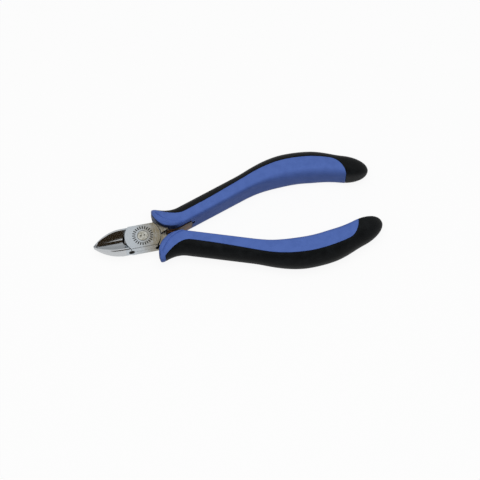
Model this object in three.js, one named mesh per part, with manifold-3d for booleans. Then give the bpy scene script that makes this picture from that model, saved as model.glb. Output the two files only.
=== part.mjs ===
// Diagonal cutting pliers with an oval head, a lap joint and two-component grips.
// Sizes are in millimetres. The jaws point along -X, the handles along +X, and the pivot
// axis is parallel to Z. The pliers are shut and lie on the flats of their grips.
import * as THREE from "three";
import { mergeVertices } from "three/addons/utils/BufferGeometryUtils.js";
import Module from "manifold-3d";

const wasm = await Module();
wasm.setup();

// Lap joint: two half-thick plates that turn on each other
const JOINT_WIDTH = 13;
const JOINT_THICKNESS = 7.6;
const PLATE_RADIUS = 9.3;
const PLATE_CHAMFER = 0.5;
const SEAM_GAP = 0.2;
const LAP_GAP = 0.15;
const RELIEF_RADIUS = 0.8;

// Jaws: an oval outline, thinner towards the tip, ground hollow to a cutting edge
const JAW_REACH = 25.5;
const JAW_OVAL_START = 11;
const JAW_TIP_WIDTH = 0.9;
const JAW_THICKNESS = 7;
const JAW_TIP_THICKNESS = 1.8;
const JAW_FLANK_ROUND = 1.3;
const JAW_HOLLOW = 0.3;
const EDGE_LAND = 0.2;
const EDGE_GAP = 0.1;
const EDGE_BEVEL = 0.7;
const SHOULDER_WIDTH = 1.2;
const SHOULDER_ROUND = 1.6;

// Pivot screw: a flush countersunk head with two spanner holes, a tapped end at the back
const PIVOT_HEAD_RADIUS = 2.7;
const PIVOT_HEAD_DEPTH = 1.1;
const PIVOT_SHANK_RADIUS = 2.1;
const SPANNER_HOLE_RADIUS = 0.5;
const SPANNER_HOLE_DEPTH = 0.7;
const SPANNER_HOLE_OFFSET = 0.9;
const PIVOT_RUNNING_FIT = 0.08;
const PIVOT_TIGHT_FIT = 0.05;

// Clip screw: holds the lead catcher in a groove under its rim
const CLIP_SHANK_RADIUS = 1.15;
const CLIP_SHANK_LENGTH = 4;
const CLIP_FLANGE_RADIUS = 3.2;
const CLIP_FLANGE_HEIGHT = 0.5;
const CLIP_NECK_RADIUS = 2.25;
const CLIP_RIM_RADIUS = 2.6;
const CLIP_RIM_HEIGHT = 0.9;
const CLIP_SLOT_WIDTH = 0.7;
const CLIP_SLOT_DEPTH = 0.6;
const CLIP_FIT = 0.1;

// Lead catcher: a bent spring wire that lies behind the cutting edges
const WIRE_RADIUS = 0.5;
const WIRE_REACH = 22.5;
const WIRE_SWAY = 0.8;
const WIRE_FIT = 0.15;

// Handles: a straight neck from the pivot, a bow and a straight tail
const NECK_ANGLE = 19.3;
const NECK_LENGTH = 63.5;
const BOW_RADIUS = 65.5;
const BOW_TURN = 37.4;
const TAIL_LENGTH = 20.8;

// Tangs: the steel of each lever inside its grip
const TANG_ROOT_WIDTH = 6.2;
const TANG_WIDTH = 4.2;
const TANG_END_WIDTH = 3.2;
const TANG_THICKNESS = 5.6;
const TANG_END_THICKNESS = 4.4;
const TANG_CHAMFER = 0.6;
const TANG_LENGTH = 88;
const TANG_SLOT = 0.8;
const TANG_FIT = 0.15;

// Grips: flat inner side, round outer side, guard collar in front, fuller palm
const NECK_HALF_WIDTH = 5.2;
const PALM_HALF_WIDTH = 7.3;
const TAIL_HALF_WIDTH = 6;
const NECK_THICKNESS = 13.6;
const PALM_THICKNESS = 16.4;
const TAIL_THICKNESS = 14.8;
const GRIP_FLATS = 15.8;
const GRIP_END_ROUND = 14;
const CREASE_SHARPNESS = 6;
const CREASE_FADE = 3.2;
const OUTER_ROUNDNESS = 2.2;
const OUTER_FULLNESS = 0.5;
const CROWN_SHIFT = 0.3;
const COLLAR_RADIUS = 10.1;
const COLLAR_CLEARANCE = 0.5;
const COLLAR_REACH = 12.2;
const COLLAR_LENGTH = 14;
const COLLAR_NOSE = 2.5;
const LIP_BEVEL = 1.8;
const LIP_WIDTH = 2.2;
const LIP_PROUD = 0.35;

// Soft pads: the outer skin of the grips and their closed rear end
const PAD_THICKNESS = 1.8;
const PAD_END_THICKNESS = 5;
const PAD_SEAM_NECK = 0.2;
const PAD_SEAM_PALM = 2.5;
const PAD_SEAM_RISE = 10;
const PAD_SEAM_LEAD = 25;
const PAD_SEAM_TURN = 106;
const PAD_SEAM_END = 117.5;
const MOULD_GAP = 0.2;

// Leaf springs: hooked into the grips, pressing on each other at the middle
const LEAF_THICKNESS = 0.6;
const LEAF_WIDTH = 6.5;
const LEAF_SEAT = 0.1;
const LEAF_HOOK_AT = 26.3;
const LEAF_FRONT_CLEARANCE = 2.5;
const LEAF_GAP = 0.3;
const LEAF_FIT = 0.15;
const HOOK_WIDTH = 1;
const HOOK_LENGTH = 1.6;
const HOOK_HOLE_RADIUS = 1;

const ROUND_SEGMENTS = 32;
const MERGE_TOLERANCE = 0.01;
const FAR = 60;

const steel = new THREE.MeshStandardMaterial({ color: 0xb4b6b4, roughness: 0.3, metalness: 1 });
const darkSteel = new THREE.MeshStandardMaterial({ color: 0x6b5d54, roughness: 0.35, metalness: 1 });
const wireSteel = new THREE.MeshStandardMaterial({ color: 0xc9c8c4, roughness: 0.25, metalness: 1 });
const brass = new THREE.MeshStandardMaterial({ color: 0xb08a45, roughness: 0.3, metalness: 1 });
const blueShell = new THREE.MeshStandardMaterial({ color: 0x4a68b0, roughness: 0.5, metalness: 0 });
const blackPad = new THREE.MeshStandardMaterial({ color: 0x141516, roughness: 0.65, metalness: 0 });

const { degToRad, lerp, smoothstep } = THREE.MathUtils;

// Solids

function body(geometry) {
  const bare = geometry.clone();
  bare.deleteAttribute("normal");
  bare.deleteAttribute("uv");
  const merged = mergeVertices(bare, 1e-4);
  return new wasm.Manifold(new wasm.Mesh({
    numProp: 3,
    vertProperties: Float32Array.from(merged.attributes.position.array),
    triVerts: Uint32Array.from(merged.index.array),
  }));
}

function geometryOf(solid) {
  const mesh = solid.simplify(MERGE_TOLERANCE).getMesh();
  const geometry = new THREE.BufferGeometry();
  geometry.setAttribute("position", new THREE.BufferAttribute(Float32Array.from(mesh.vertProperties), 3));
  geometry.setIndex(new THREE.BufferAttribute(Uint32Array.from(mesh.triVerts), 1));
  geometry.computeVertexNormals();
  return geometry;
}

function spread(start, end, steps) {
  return Array.from({ length: steps + 1 }, (_, k) => lerp(start, end, k / steps));
}

// The same skin with every face turned outward
function facedOutward(geometry) {
  const faces = Array.from(geometry.index.array);
  const corner = (k) => new THREE.Vector3().fromBufferAttribute(geometry.attributes.position, faces[k]);
  let volume = 0;
  for (let k = 0; k < faces.length; k += 3) {
    volume += corner(k).dot(corner(k + 1).cross(corner(k + 2)));
  }
  geometry.setIndex(volume > 0 ? faces : faces.toReversed());
  return geometry;
}

// Closed skin through a row of rings with equally many points
function loft(rings) {
  const count = rings[0].length;
  const points = rings.flat();
  const faces = [];
  for (let ring = 0; ring + 1 < rings.length; ring += 1) {
    for (let k = 0; k < count; k += 1) {
      const a = ring * count + k;
      const b = ring * count + (k + 1) % count;
      faces.push(a, b, b + count, a, b + count, a + count);
    }
  }
  for (const ring of [0, rings.length - 1]) {
    const middle = new THREE.Vector3();
    rings[ring].forEach((point) => middle.addScaledVector(point, 1 / count));
    points.push(middle);
    for (let k = 0; k < count; k += 1) {
      const a = ring * count + k;
      const b = ring * count + (k + 1) % count;
      faces.push(points.length - 1, ...(ring === 0 ? [b, a] : [a, b]));
    }
  }
  const geometry = new THREE.BufferGeometry().setFromPoints(points);
  geometry.setIndex(faces);
  return facedOutward(geometry);
}

function prism(outline, bottom, top) {
  const shape = new THREE.Shape(outline);
  const geometry = new THREE.ExtrudeGeometry(shape, { depth: top - bottom, bevelEnabled: false });
  return geometry.translate(0, 0, bottom);
}

// Round body about the pivot axis from [radius, height] pairs
function turned(profile) {
  const points = profile.map(([radius, height]) => new THREE.Vector2(radius, height));
  return facedOutward(new THREE.LatheGeometry(points, ROUND_SEGMENTS).rotateX(Math.PI / 2));
}

function block(xRange, yRange, zRange) {
  const [sizes, middles] = [[], []];
  for (const [low, high] of [xRange, yRange, zRange]) {
    sizes.push(high - low);
    middles.push((high + low) / 2);
  }
  return new THREE.BoxGeometry(...sizes).translate(...middles);
}

// Handle spine of the upper handle: station along it and offset outwards

const neckAngle = degToRad(NECK_ANGLE);
const bowLength = BOW_RADIUS * degToRad(BOW_TURN);
const gripEnd = NECK_LENGTH + bowLength + TAIL_LENGTH;

function spineAngle(station) {
  const bent = THREE.MathUtils.clamp(station - NECK_LENGTH, 0, bowLength);
  return neckAngle - bent / BOW_RADIUS;
}

function spinePoint(station) {
  const neck = Math.min(station, NECK_LENGTH);
  const tail = Math.max(station - NECK_LENGTH - bowLength, 0);
  const angle = spineAngle(station);
  const across = BOW_RADIUS * (Math.sin(neckAngle) - Math.sin(angle));
  const along = BOW_RADIUS * (Math.cos(angle) - Math.cos(neckAngle));
  return new THREE.Vector2(
    neck * Math.cos(neckAngle) + across + tail * Math.cos(angle),
    neck * Math.sin(neckAngle) + along + tail * Math.sin(angle),
  );
}

function handlePoint(station, offset) {
  const angle = spineAngle(station);
  const outward = new THREE.Vector2(-Math.sin(angle), Math.cos(angle));
  return spinePoint(station).addScaledVector(outward, offset);
}

function handleRing(station, section) {
  return section.map(([offset, height]) => {
    const point = handlePoint(station, offset);
    return new THREE.Vector3(point.x, point.y, height);
  });
}

// Levers

const halfWidth = JOINT_WIDTH / 2;
const halfJoint = JOINT_THICKNESS / 2;
const seamRadius = PLATE_RADIUS + SEAM_GAP;

function plateRing(inset, height) {
  const radius = PLATE_RADIUS - inset;
  const corner = Math.asin((halfWidth - inset) / radius);
  const ends = [0, Math.PI].map((side) => spread(side - corner, side + corner, 14));
  return ends.flat().map((angle) => (
    new THREE.Vector3(radius * Math.cos(angle), radius * Math.sin(angle), height)
  ));
}

function plate() {
  return loft([
    plateRing(0, LAP_GAP / 2),
    plateRing(0, halfJoint - PLATE_CHAMFER),
    plateRing(PLATE_CHAMFER, halfJoint),
  ]);
}

function jawOutline(distance) {
  const length = JAW_REACH - JAW_OVAL_START;
  const drop = halfWidth - JAW_TIP_WIDTH / 2;
  const radius = (length ** 2 + drop ** 2) / (2 * drop);
  const past = Math.max(distance - JAW_OVAL_START, 0);
  return halfWidth - radius + Math.sqrt(radius ** 2 - past ** 2);
}

// Wedge section: bevelled edge, hollow ground face, rounded flank, mirrored to the back
function jawRing(distance) {
  const progress = Math.max(distance - JAW_OVAL_START, 0) / (JAW_REACH - JAW_OVAL_START);
  const outer = jawOutline(distance);
  const edge = EDGE_GAP / 2;
  const half = lerp(JAW_THICKNESS, JAW_TIP_THICKNESS, progress ** 1.7) / 2;
  const round = Math.min(JAW_FLANK_ROUND, (outer - edge) / 2, half / 2);
  const rim = outer - round;
  const hollow = JAW_HOLLOW * (1 - progress);
  const bevel = Math.min(EDGE_BEVEL, (rim - edge) / 4);
  const front = [
    [edge, EDGE_LAND / 2],
    [edge + bevel, EDGE_LAND / 2 + bevel],
    [lerp(edge, rim, 0.55), 0.55 * half - hollow],
  ];
  for (const turn of spread(0, Math.PI / 2, 4)) {
    front.push([rim + round * Math.sin(turn), half - round + round * Math.cos(turn)]);
  }
  const back = front.toReversed().map(([y, z]) => [y, -z]);
  return [...front, ...back].map(([y, z]) => new THREE.Vector3(-distance, y, z));
}

function jaw() {
  const root = JOINT_WIDTH / 2;
  const oval = JAW_REACH - JAW_OVAL_START;
  const bend = spread(0, Math.PI / 2, 12).map((turn) => JAW_OVAL_START + oval * Math.sin(turn));
  return loft([root, ...bend].map(jawRing));
}

// Jaw before grinding: as thick as the joint, with the same round flank
function blank() {
  const round = JAW_FLANK_ROUND;
  const corner = spread(0, Math.PI / 2, 4).map((turn) => [
    round * (Math.sin(turn) - 1),
    halfJoint - round + round * Math.cos(turn),
  ]);
  const flank = [...corner, ...corner.toReversed().map(([y, z]) => [y, -z])];
  const distances = [JOINT_WIDTH / 2, ...spread(JAW_OVAL_START, JAW_OVAL_START + 3 * SHOULDER_ROUND, 6)];
  return loft(distances.map((distance) => {
    const section = flank.map(([y, z]) => [jawOutline(distance) + y, z]);
    return [[0, halfJoint], ...section, [0, -halfJoint]].map(([y, z]) => new THREE.Vector3(-distance, y, z));
  }));
}

// Part of a jaw's root that stays as thick as the joint, on the reverse side only.
// Its straight wall turns into the jaw's flank with a round corner.
function shoulder(bottom, top) {
  const wall = seamRadius + SHOULDER_WIDTH;
  const rim = jawOutline(wall + SHOULDER_ROUND);
  const corner = spread(0, Math.PI / 2, 5).map((turn) => new THREE.Vector2(
    -wall - SHOULDER_ROUND * (1 - Math.cos(turn)),
    rim - SHOULDER_ROUND * (1 - Math.sin(turn)),
  ));
  const outline = [
    new THREE.Vector2(-wall, EDGE_GAP / 2),
    ...corner,
    new THREE.Vector2(-JAW_OVAL_START, halfWidth),
    new THREE.Vector2(-halfWidth, halfWidth),
    new THREE.Vector2(-halfWidth, EDGE_GAP / 2),
  ];
  return body(prism(outline, bottom, top)).intersect(body(blank()));
}

// Round groove in the corner between a lever's lap face and its seam
function seamRelief() {
  return turned(spread(0, 2 * Math.PI, 10).map((turn) => [
    seamRadius + RELIEF_RADIUS * Math.cos(turn),
    LAP_GAP / 2 + RELIEF_RADIUS * (0.5 + Math.sin(turn)),
  ]));
}

function tangRing(station, grow) {
  const taper = smoothstep(station, PLATE_RADIUS, 2 * PLATE_RADIUS);
  const thin = smoothstep(station, 2 * PLATE_RADIUS, TANG_LENGTH);
  const width = lerp(lerp(TANG_ROOT_WIDTH, TANG_WIDTH, taper), TANG_END_WIDTH, thin) / 2 + grow;
  const height = lerp(TANG_THICKNESS, TANG_END_THICKNESS, thin) / 2 + grow;
  const quarter = [[width, height - TANG_CHAMFER], [width - TANG_CHAMFER, height]];
  const half = [...quarter, ...quarter.toReversed().map(([n, z]) => [-n, z])];
  const section = [...half, ...half.map(([n, z]) => [-n, -z])];
  return handleRing(station, section);
}

function tang(grow) {
  const straight = [4, PLATE_RADIUS, 1.25 * PLATE_RADIUS, 1.5 * PLATE_RADIUS, 2 * PLATE_RADIUS];
  const rear = spread(NECK_LENGTH, TANG_LENGTH + grow, 6);
  return loft([...straight, ...rear].map((station) => tangRing(station, grow)));
}

// Lever with the front plate, the upper jaw and the lower tang
function lever(shoulderRange, boreProfile) {
  const slotted = body(tang(0)).subtract(body(block([0, FAR], [-FAR, TANG_SLOT / 2], [-FAR, FAR])));
  const lowerTang = body(geometryOf(slotted).rotateX(Math.PI));
  const seam = turned([[0, -FAR], [seamRadius, -FAR], [seamRadius, LAP_GAP / 2], [0, LAP_GAP / 2]]);
  return body(jaw())
    .add(shoulder(...shoulderRange))
    .add(lowerTang)
    .subtract(body(seam))
    .add(body(plate()))
    .subtract(body(seamRelief()))
    .subtract(body(turned(boreProfile)));
}

// Pivot

function pivotOuter(fit) {
  return [
    [PIVOT_HEAD_RADIUS + fit, halfJoint],
    [PIVOT_HEAD_RADIUS + fit, halfJoint - 0.2],
    [PIVOT_SHANK_RADIUS + fit, halfJoint - PIVOT_HEAD_DEPTH],
    [PIVOT_SHANK_RADIUS + fit, -halfJoint],
  ];
}

function boreFor(fit) {
  const outer = pivotOuter(fit);
  const mouth = [PIVOT_HEAD_RADIUS + fit, FAR];
  const end = [PIVOT_SHANK_RADIUS + fit, -FAR];
  return [[0, FAR], mouth, ...outer, end, [0, -FAR]];
}

function pivotScrew() {
  const bore = CLIP_SHANK_RADIUS + CLIP_FIT;
  const boreTop = -halfJoint + CLIP_SHANK_LENGTH + CLIP_FIT;
  const blank = turned([
    [0, halfJoint],
    ...pivotOuter(0),
    [bore, -halfJoint],
    [bore, boreTop],
    [0, boreTop],
  ]);
  const hole = new THREE.CylinderGeometry(SPANNER_HOLE_RADIUS, SPANNER_HOLE_RADIUS, 2 * SPANNER_HOLE_DEPTH, 16);
  hole.rotateX(Math.PI / 2).translate(SPANNER_HOLE_OFFSET, 0, halfJoint);
  const opposite = hole.clone().rotateZ(Math.PI);
  return geometryOf(body(blank).subtract(body(hole)).subtract(body(opposite)));
}

const wireSeat = -halfJoint - CLIP_FIT - CLIP_FLANGE_HEIGHT;
const wireLoopHeight = wireSeat - WIRE_FIT - WIRE_RADIUS;
const rimHeight = wireLoopHeight - WIRE_RADIUS - WIRE_FIT;
const rimTop = rimHeight - CLIP_RIM_HEIGHT;

function clipScrew() {
  const shank = turned([
    [0, -halfJoint + CLIP_SHANK_LENGTH],
    [CLIP_SHANK_RADIUS, -halfJoint + CLIP_SHANK_LENGTH],
    [CLIP_SHANK_RADIUS, -halfJoint - CLIP_FIT],
    [CLIP_FLANGE_RADIUS, -halfJoint - CLIP_FIT],
    [CLIP_FLANGE_RADIUS, wireSeat],
    [CLIP_NECK_RADIUS, wireSeat],
    [CLIP_NECK_RADIUS, rimHeight],
    [CLIP_RIM_RADIUS, rimHeight],
    [CLIP_RIM_RADIUS, lerp(rimHeight, rimTop, 0.6)],
    [0.8 * CLIP_RIM_RADIUS, rimTop],
    [0, rimTop],
  ]);
  const depth = [rimTop - FAR, rimTop + CLIP_SLOT_DEPTH];
  const width = [-CLIP_SLOT_WIDTH / 2, CLIP_SLOT_WIDTH / 2];
  const arm = [-0.7 * CLIP_RIM_RADIUS, 0.7 * CLIP_RIM_RADIUS];
  return geometryOf(body(shank)
    .subtract(body(block(arm, width, depth)))
    .subtract(body(block(width, arm, depth))));
}

// Lead catcher, drawn from its tip between the jaws to the open end of its loop
function leadCatcher() {
  const valley = -EDGE_LAND / 2 - (WIRE_RADIUS + WIRE_FIT) / Math.cos(Math.atan2(JAW_THICKNESS, JOINT_WIDTH));
  const onPlate = -halfJoint - WIRE_FIT - WIRE_RADIUS;
  const step = seamRadius + SHOULDER_WIDTH + WIRE_RADIUS + 2 * WIRE_FIT;
  const loop = CLIP_NECK_RADIUS + WIRE_FIT + WIRE_RADIUS;
  const points = [
    [-WIRE_REACH, 0, valley],
    [-lerp(step, WIRE_REACH, 0.5), 0, valley],
    [-step - 1.2, 0, valley],
    [-step - 0.1, 0, lerp(valley, onPlate, 0.2)],
    [-step, 0, lerp(valley, onPlate, 0.7)],
    [-step + 0.7, 0, onPlate],
    [-PLATE_RADIUS + 1, -WIRE_SWAY / 3, onPlate],
    [-2 * loop, WIRE_SWAY, onPlate],
    [-1.25 * loop, 0.65 * loop, lerp(onPlate, wireLoopHeight, 0.7)],
  ];
  for (const angle of spread(degToRad(120), degToRad(-105), 9)) {
    points.push([loop * Math.cos(angle), loop * Math.sin(angle), wireLoopHeight]);
  }
  points.push([-1.2 * loop, -1.02 * loop, wireLoopHeight]);
  const path = new THREE.CatmullRomCurve3(points.map((point) => new THREE.Vector3(...point)), false, "centripetal");
  const section = new THREE.Shape().absarc(0, 0, WIRE_RADIUS, 0, 2 * Math.PI);
  return new THREE.ExtrudeGeometry(section, { steps: 60, curveSegments: 4, extrudePath: path });
}

// Grips, drawn for the upper handle

const collarOffset = COLLAR_RADIUS - NECK_HALF_WIDTH;
const collarDistance = PLATE_RADIUS + COLLAR_CLEARANCE + COLLAR_RADIUS;
const collarStation = Math.sqrt(collarDistance ** 2 - collarOffset ** 2);
const gripFront = collarStation - COLLAR_RADIUS;

// Section with its crown nearer to the flat inner side; the share shrinks it at the rear end
function gripSection(station, share, inset) {
  const swell = smoothstep(station, 0.9 * NECK_LENGTH, 1.33 * NECK_LENGTH);
  const ease = smoothstep(station, 1.5 * NECK_LENGTH, gripEnd - GRIP_END_ROUND);
  const sized = (neck, palm, tail) => lerp(lerp(neck, palm, swell), tail, ease);
  const flare = Math.max(1 - (station - gripFront) / COLLAR_LENGTH, 0) ** 2;
  const inner = sized(NECK_HALF_WIDTH, PALM_HALF_WIDTH, TAIL_HALF_WIDTH);
  const nose = THREE.MathUtils.clamp(1 - (station - gripFront) / COLLAR_NOSE, 0, 1);
  const outer = inner + OUTER_FULLNESS + flare * (COLLAR_REACH - NECK_HALF_WIDTH)
    - COLLAR_NOSE * (1 - Math.sqrt(1 - nose ** 2));
  const half = sized(NECK_THICKNESS, PALM_THICKNESS, TAIL_THICKNESS) / 2;
  const sharp = lerp(CREASE_SHARPNESS, CREASE_FADE, swell);
  const crown = -CROWN_SHIFT * inner * share;
  return spread(0, 2 * Math.PI, 20).slice(1).map((turn) => {
    const [c, s] = [Math.cos(turn), Math.sin(turn)];
    const power = 2 / (c > 0 ? OUTER_ROUNDNESS : sharp);
    const reach = c > 0 ? share * outer - crown : share * inner + crown;
    const offset = crown + Math.sign(c) * (reach - inset) * Math.abs(c) ** power;
    return [offset, Math.sign(s) * (share * half - inset) * Math.abs(s) ** power];
  });
}

function gripLoft(inset, endInset) {
  const bowEnd = NECK_LENGTH + bowLength;
  const roundStart = gripEnd - GRIP_END_ROUND;
  const stations = [
    ...spread(gripFront - 1, PAD_SEAM_LEAD, 7),
    ...spread(PAD_SEAM_LEAD, NECK_LENGTH, 3).slice(1),
    ...spread(NECK_LENGTH, bowEnd, 7).slice(1),
  ];
  const rings = stations.map((station) => handleRing(station, gripSection(station, 1, inset)));
  for (const turn of spread(0, degToRad(80), 6)) {
    const station = roundStart + (GRIP_END_ROUND - endInset) * Math.sin(turn);
    rings.push(handleRing(station, gripSection(station, Math.cos(turn), inset * Math.cos(turn))));
  }
  return loft(rings);
}

// Everything behind the round, bevelled front of the collar, or behind its lip
function collarKeep(back) {
  const bevelStart = NECK_THICKNESS / 2 - LIP_BEVEL;
  const rings = [-1, 0, 0, 1].map((side, level) => {
    const height = level < 2 ? -bevelStart : bevelStart;
    const shift = back + Math.abs(side) * 2 * LIP_BEVEL;
    const arc = spread(-Math.PI / 2, Math.PI / 2, 24).map((angle) => [
      collarStation + shift - COLLAR_RADIUS * Math.cos(angle),
      collarOffset + COLLAR_RADIUS * Math.sin(angle),
    ]);
    const outline = [
      [collarStation + shift, -FAR],
      ...arc,
      [collarStation + shift, FAR],
      [4 * FAR, FAR],
      [4 * FAR, -FAR],
    ];
    const turn = new THREE.Vector2();
    return outline.map(([station, offset]) => {
      const point = new THREE.Vector2(station, offset).rotateAround(turn, neckAngle);
      return new THREE.Vector3(point.x, point.y, height + side * 2 * LIP_BEVEL);
    });
  });
  return loft(rings);
}

// Raised rim along the front of the collar, apart from its inner side
function collarLip(keep) {
  const edge = -0.9 * NECK_HALF_WIDTH;
  const corners = [[0, -FAR], [FAR, -FAR], [FAR, edge], [0, edge]];
  const inside = prism(corners.map(([station, offset]) => handlePoint(station, offset)), -FAR, FAR);
  return body(gripLoft(-LIP_PROUD, 0))
    .intersect(keep)
    .subtract(body(collarKeep(LIP_WIDTH)))
    .subtract(body(inside));
}

// Seam between shell and pad as [station, offset] pairs, moved sideways by a gap
function seamLine(gap) {
  const lead = spread(gripFront - 3, PAD_SEAM_LEAD, 10).map((station) => {
    const rise = (PAD_SEAM_LEAD - station) / (PAD_SEAM_LEAD - gripFront - 3);
    return [station, PAD_SEAM_NECK + PAD_SEAM_RISE * rise ** 2];
  });
  const middle = spread(PAD_SEAM_LEAD, PAD_SEAM_TURN, 12).slice(1).map((station) => (
    [station, lerp(PAD_SEAM_NECK, PAD_SEAM_PALM, smoothstep(station, PAD_SEAM_LEAD, 1.4 * NECK_LENGTH))]
  ));
  const drop = PAD_SEAM_PALM + 2 * PALM_HALF_WIDTH;
  const rear = spread(0, Math.PI / 2, 10).slice(1).map((turn) => [
    lerp(PAD_SEAM_TURN, PAD_SEAM_END, Math.sin(turn)),
    PAD_SEAM_PALM - drop * (1 - Math.cos(turn)),
  ]);
  const line = [...lead, ...middle, ...rear];
  return line.map(([station, offset], k) => {
    const [before, after] = [line[Math.max(k - 1, 0)], line[Math.min(k + 1, line.length - 1)]];
    const run = new THREE.Vector2(after[0] - before[0], after[1] - before[1]).normalize();
    return [station + gap * run.y, offset - gap * run.x];
  });
}

function padSpace(gap) {
  const seam = seamLine(gap);
  const outside = [
    [2 * gripEnd, seam.at(-1)[1]],
    [2 * gripEnd, FAR],
    ...spread(gripEnd, seam[0][0], 8).map((station) => [station, FAR]),
  ];
  const outline = [...seam, ...outside].map(([station, offset]) => handlePoint(station, offset));
  return prism(outline, -FAR, FAR);
}

// Leaf springs, drawn for the upper handle

const leafOffset = -(NECK_HALF_WIDTH - LEAF_SEAT + LEAF_THICKNESS / 2);
const leafMiddle = (LEAF_GAP + LEAF_THICKNESS) / 2;

// Strip that follows the grip's inner side, then the middle between the handles
function leafOutline(grow) {
  const rear = handlePoint(LEAF_HOOK_AT, leafOffset);
  const bend = (leafMiddle - rear.y) / Math.tan(neckAngle) + rear.x;
  const front = seamRadius + LEAF_FRONT_CLEARANCE;
  const ease = 3;
  const start = new THREE.Vector2(bend + ease * Math.cos(neckAngle), leafMiddle + ease * Math.sin(neckAngle));
  const curve = new THREE.QuadraticBezierCurve(
    start,
    new THREE.Vector2(bend, leafMiddle),
    new THREE.Vector2(bend - ease, leafMiddle),
  );
  const path = [rear, ...curve.getPoints(8), new THREE.Vector2(front, leafMiddle)];
  const sides = [1, -1].map((side) => path.map((point, k) => {
    const [before, after] = [path[Math.max(k - 1, 0)], path[Math.min(k + 1, path.length - 1)]];
    const run = after.clone().sub(before).normalize();
    const end = k === 0 ? -grow : (k === path.length - 1 ? grow : 0);
    const across = new THREE.Vector2(-run.y, run.x);
    return point.clone()
      .addScaledVector(run, end)
      .addScaledVector(across, side * (LEAF_THICKNESS / 2 + grow));
  }));
  return [...sides[0], ...sides[1].toReversed()];
}

function leaf(grow) {
  const half = LEAF_WIDTH / 2 + grow;
  return body(prism(leafOutline(grow), -half, half));
}

function leafHook() {
  const top = leafOffset + LEAF_THICKNESS / 2 + HOOK_LENGTH;
  const corners = [
    handlePoint(LEAF_HOOK_AT, leafOffset),
    handlePoint(LEAF_HOOK_AT, top),
    handlePoint(LEAF_HOOK_AT - LEAF_THICKNESS, top),
    handlePoint(LEAF_HOOK_AT - LEAF_THICKNESS, leafOffset),
  ];
  return body(prism(corners, -HOOK_WIDTH / 2, HOOK_WIDTH / 2));
}

function hookHole() {
  const depth = LEAF_SEAT + HOOK_LENGTH + LEAF_FIT;
  const hole = new THREE.CylinderGeometry(HOOK_HOLE_RADIUS, HOOK_HOLE_RADIUS, 2 * depth, 16);
  const middle = handlePoint(LEAF_HOOK_AT, -NECK_HALF_WIDTH);
  return body(hole.rotateZ(neckAngle).translate(middle.x, middle.y, 0));
}

function grip() {
  const keep = body(collarKeep(0));
  const flats = body(block([-FAR, 4 * FAR], [-FAR, FAR], [-GRIP_FLATS / 2, GRIP_FLATS / 2]));
  const whole = body(gripLoft(0, 0)).intersect(keep).intersect(flats);
  const under = (gap) => body(gripLoft(PAD_THICKNESS + gap, PAD_END_THICKNESS + gap)).intersect(keep);
  const pad = whole.intersect(body(padSpace(0)))
    .intersect(body(collarKeep(LIP_WIDTH + MOULD_GAP)))
    .subtract(under(0));
  const core = whole.subtract(body(padSpace(MOULD_GAP)).intersect(body(collarKeep(LIP_WIDTH))))
    .add(collarLip(keep))
    .add(under(MOULD_GAP))
    .subtract(body(tang(TANG_FIT)))
    .subtract(leaf(LEAF_FIT))
    .subtract(hookHole());
  return { pad, core };
}

// Assembly

const pliers = new THREE.Group();

function place(name, geometry, material, turned = false) {
  const mesh = new THREE.Mesh(geometry, material);
  mesh.name = name;
  mesh.rotation.x = turned ? Math.PI : 0;
  pliers.add(mesh);
}

const runningBore = boreFor(PIVOT_RUNNING_FIT);
const shank = PIVOT_SHANK_RADIUS + PIVOT_TIGHT_FIT;
const tightBore = [[0, -FAR], [shank, -FAR], [shank, FAR], [0, FAR]];
place("lever_front", geometryOf(lever([-halfJoint, 0], runningBore)), steel);
place("lever_back", geometryOf(lever([0, halfJoint], tightBore)), steel, true);
place("pivot_screw", pivotScrew(), steel);
place("clip_screw", clipScrew(), brass);
place("lead_catcher", leadCatcher(), wireSteel);

const { pad, core } = grip();
const spring = leaf(0).add(leafHook());
for (const [side, turned] of [["upper", false], ["lower", true]]) {
  place(`grip_core_${side}`, geometryOf(core), blueShell, turned);
  place(`grip_pad_${side}`, geometryOf(pad), blackPad, turned);
  place(`leaf_spring_${side}`, geometryOf(spring), darkSteel, turned);
}

const bounds = new THREE.Box3().setFromObject(pliers);
const middle = bounds.getCenter(new THREE.Vector3());
pliers.position.set(-middle.x, -middle.y, -bounds.min.z);

const part = new THREE.Group();
part.add(pliers);
export default part;
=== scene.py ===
"""Looks of a pair of diagonal cutting pliers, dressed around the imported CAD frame.

Shapes are drawn in millimetres about the pivot: X runs to the handles, Y to the upper
handle and Z to the front. Each finished mesh is then moved into the frame, in metres.
"""

import logging
import math
from collections.abc import Callable, Sequence
from dataclasses import dataclass
from enum import Enum

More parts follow.
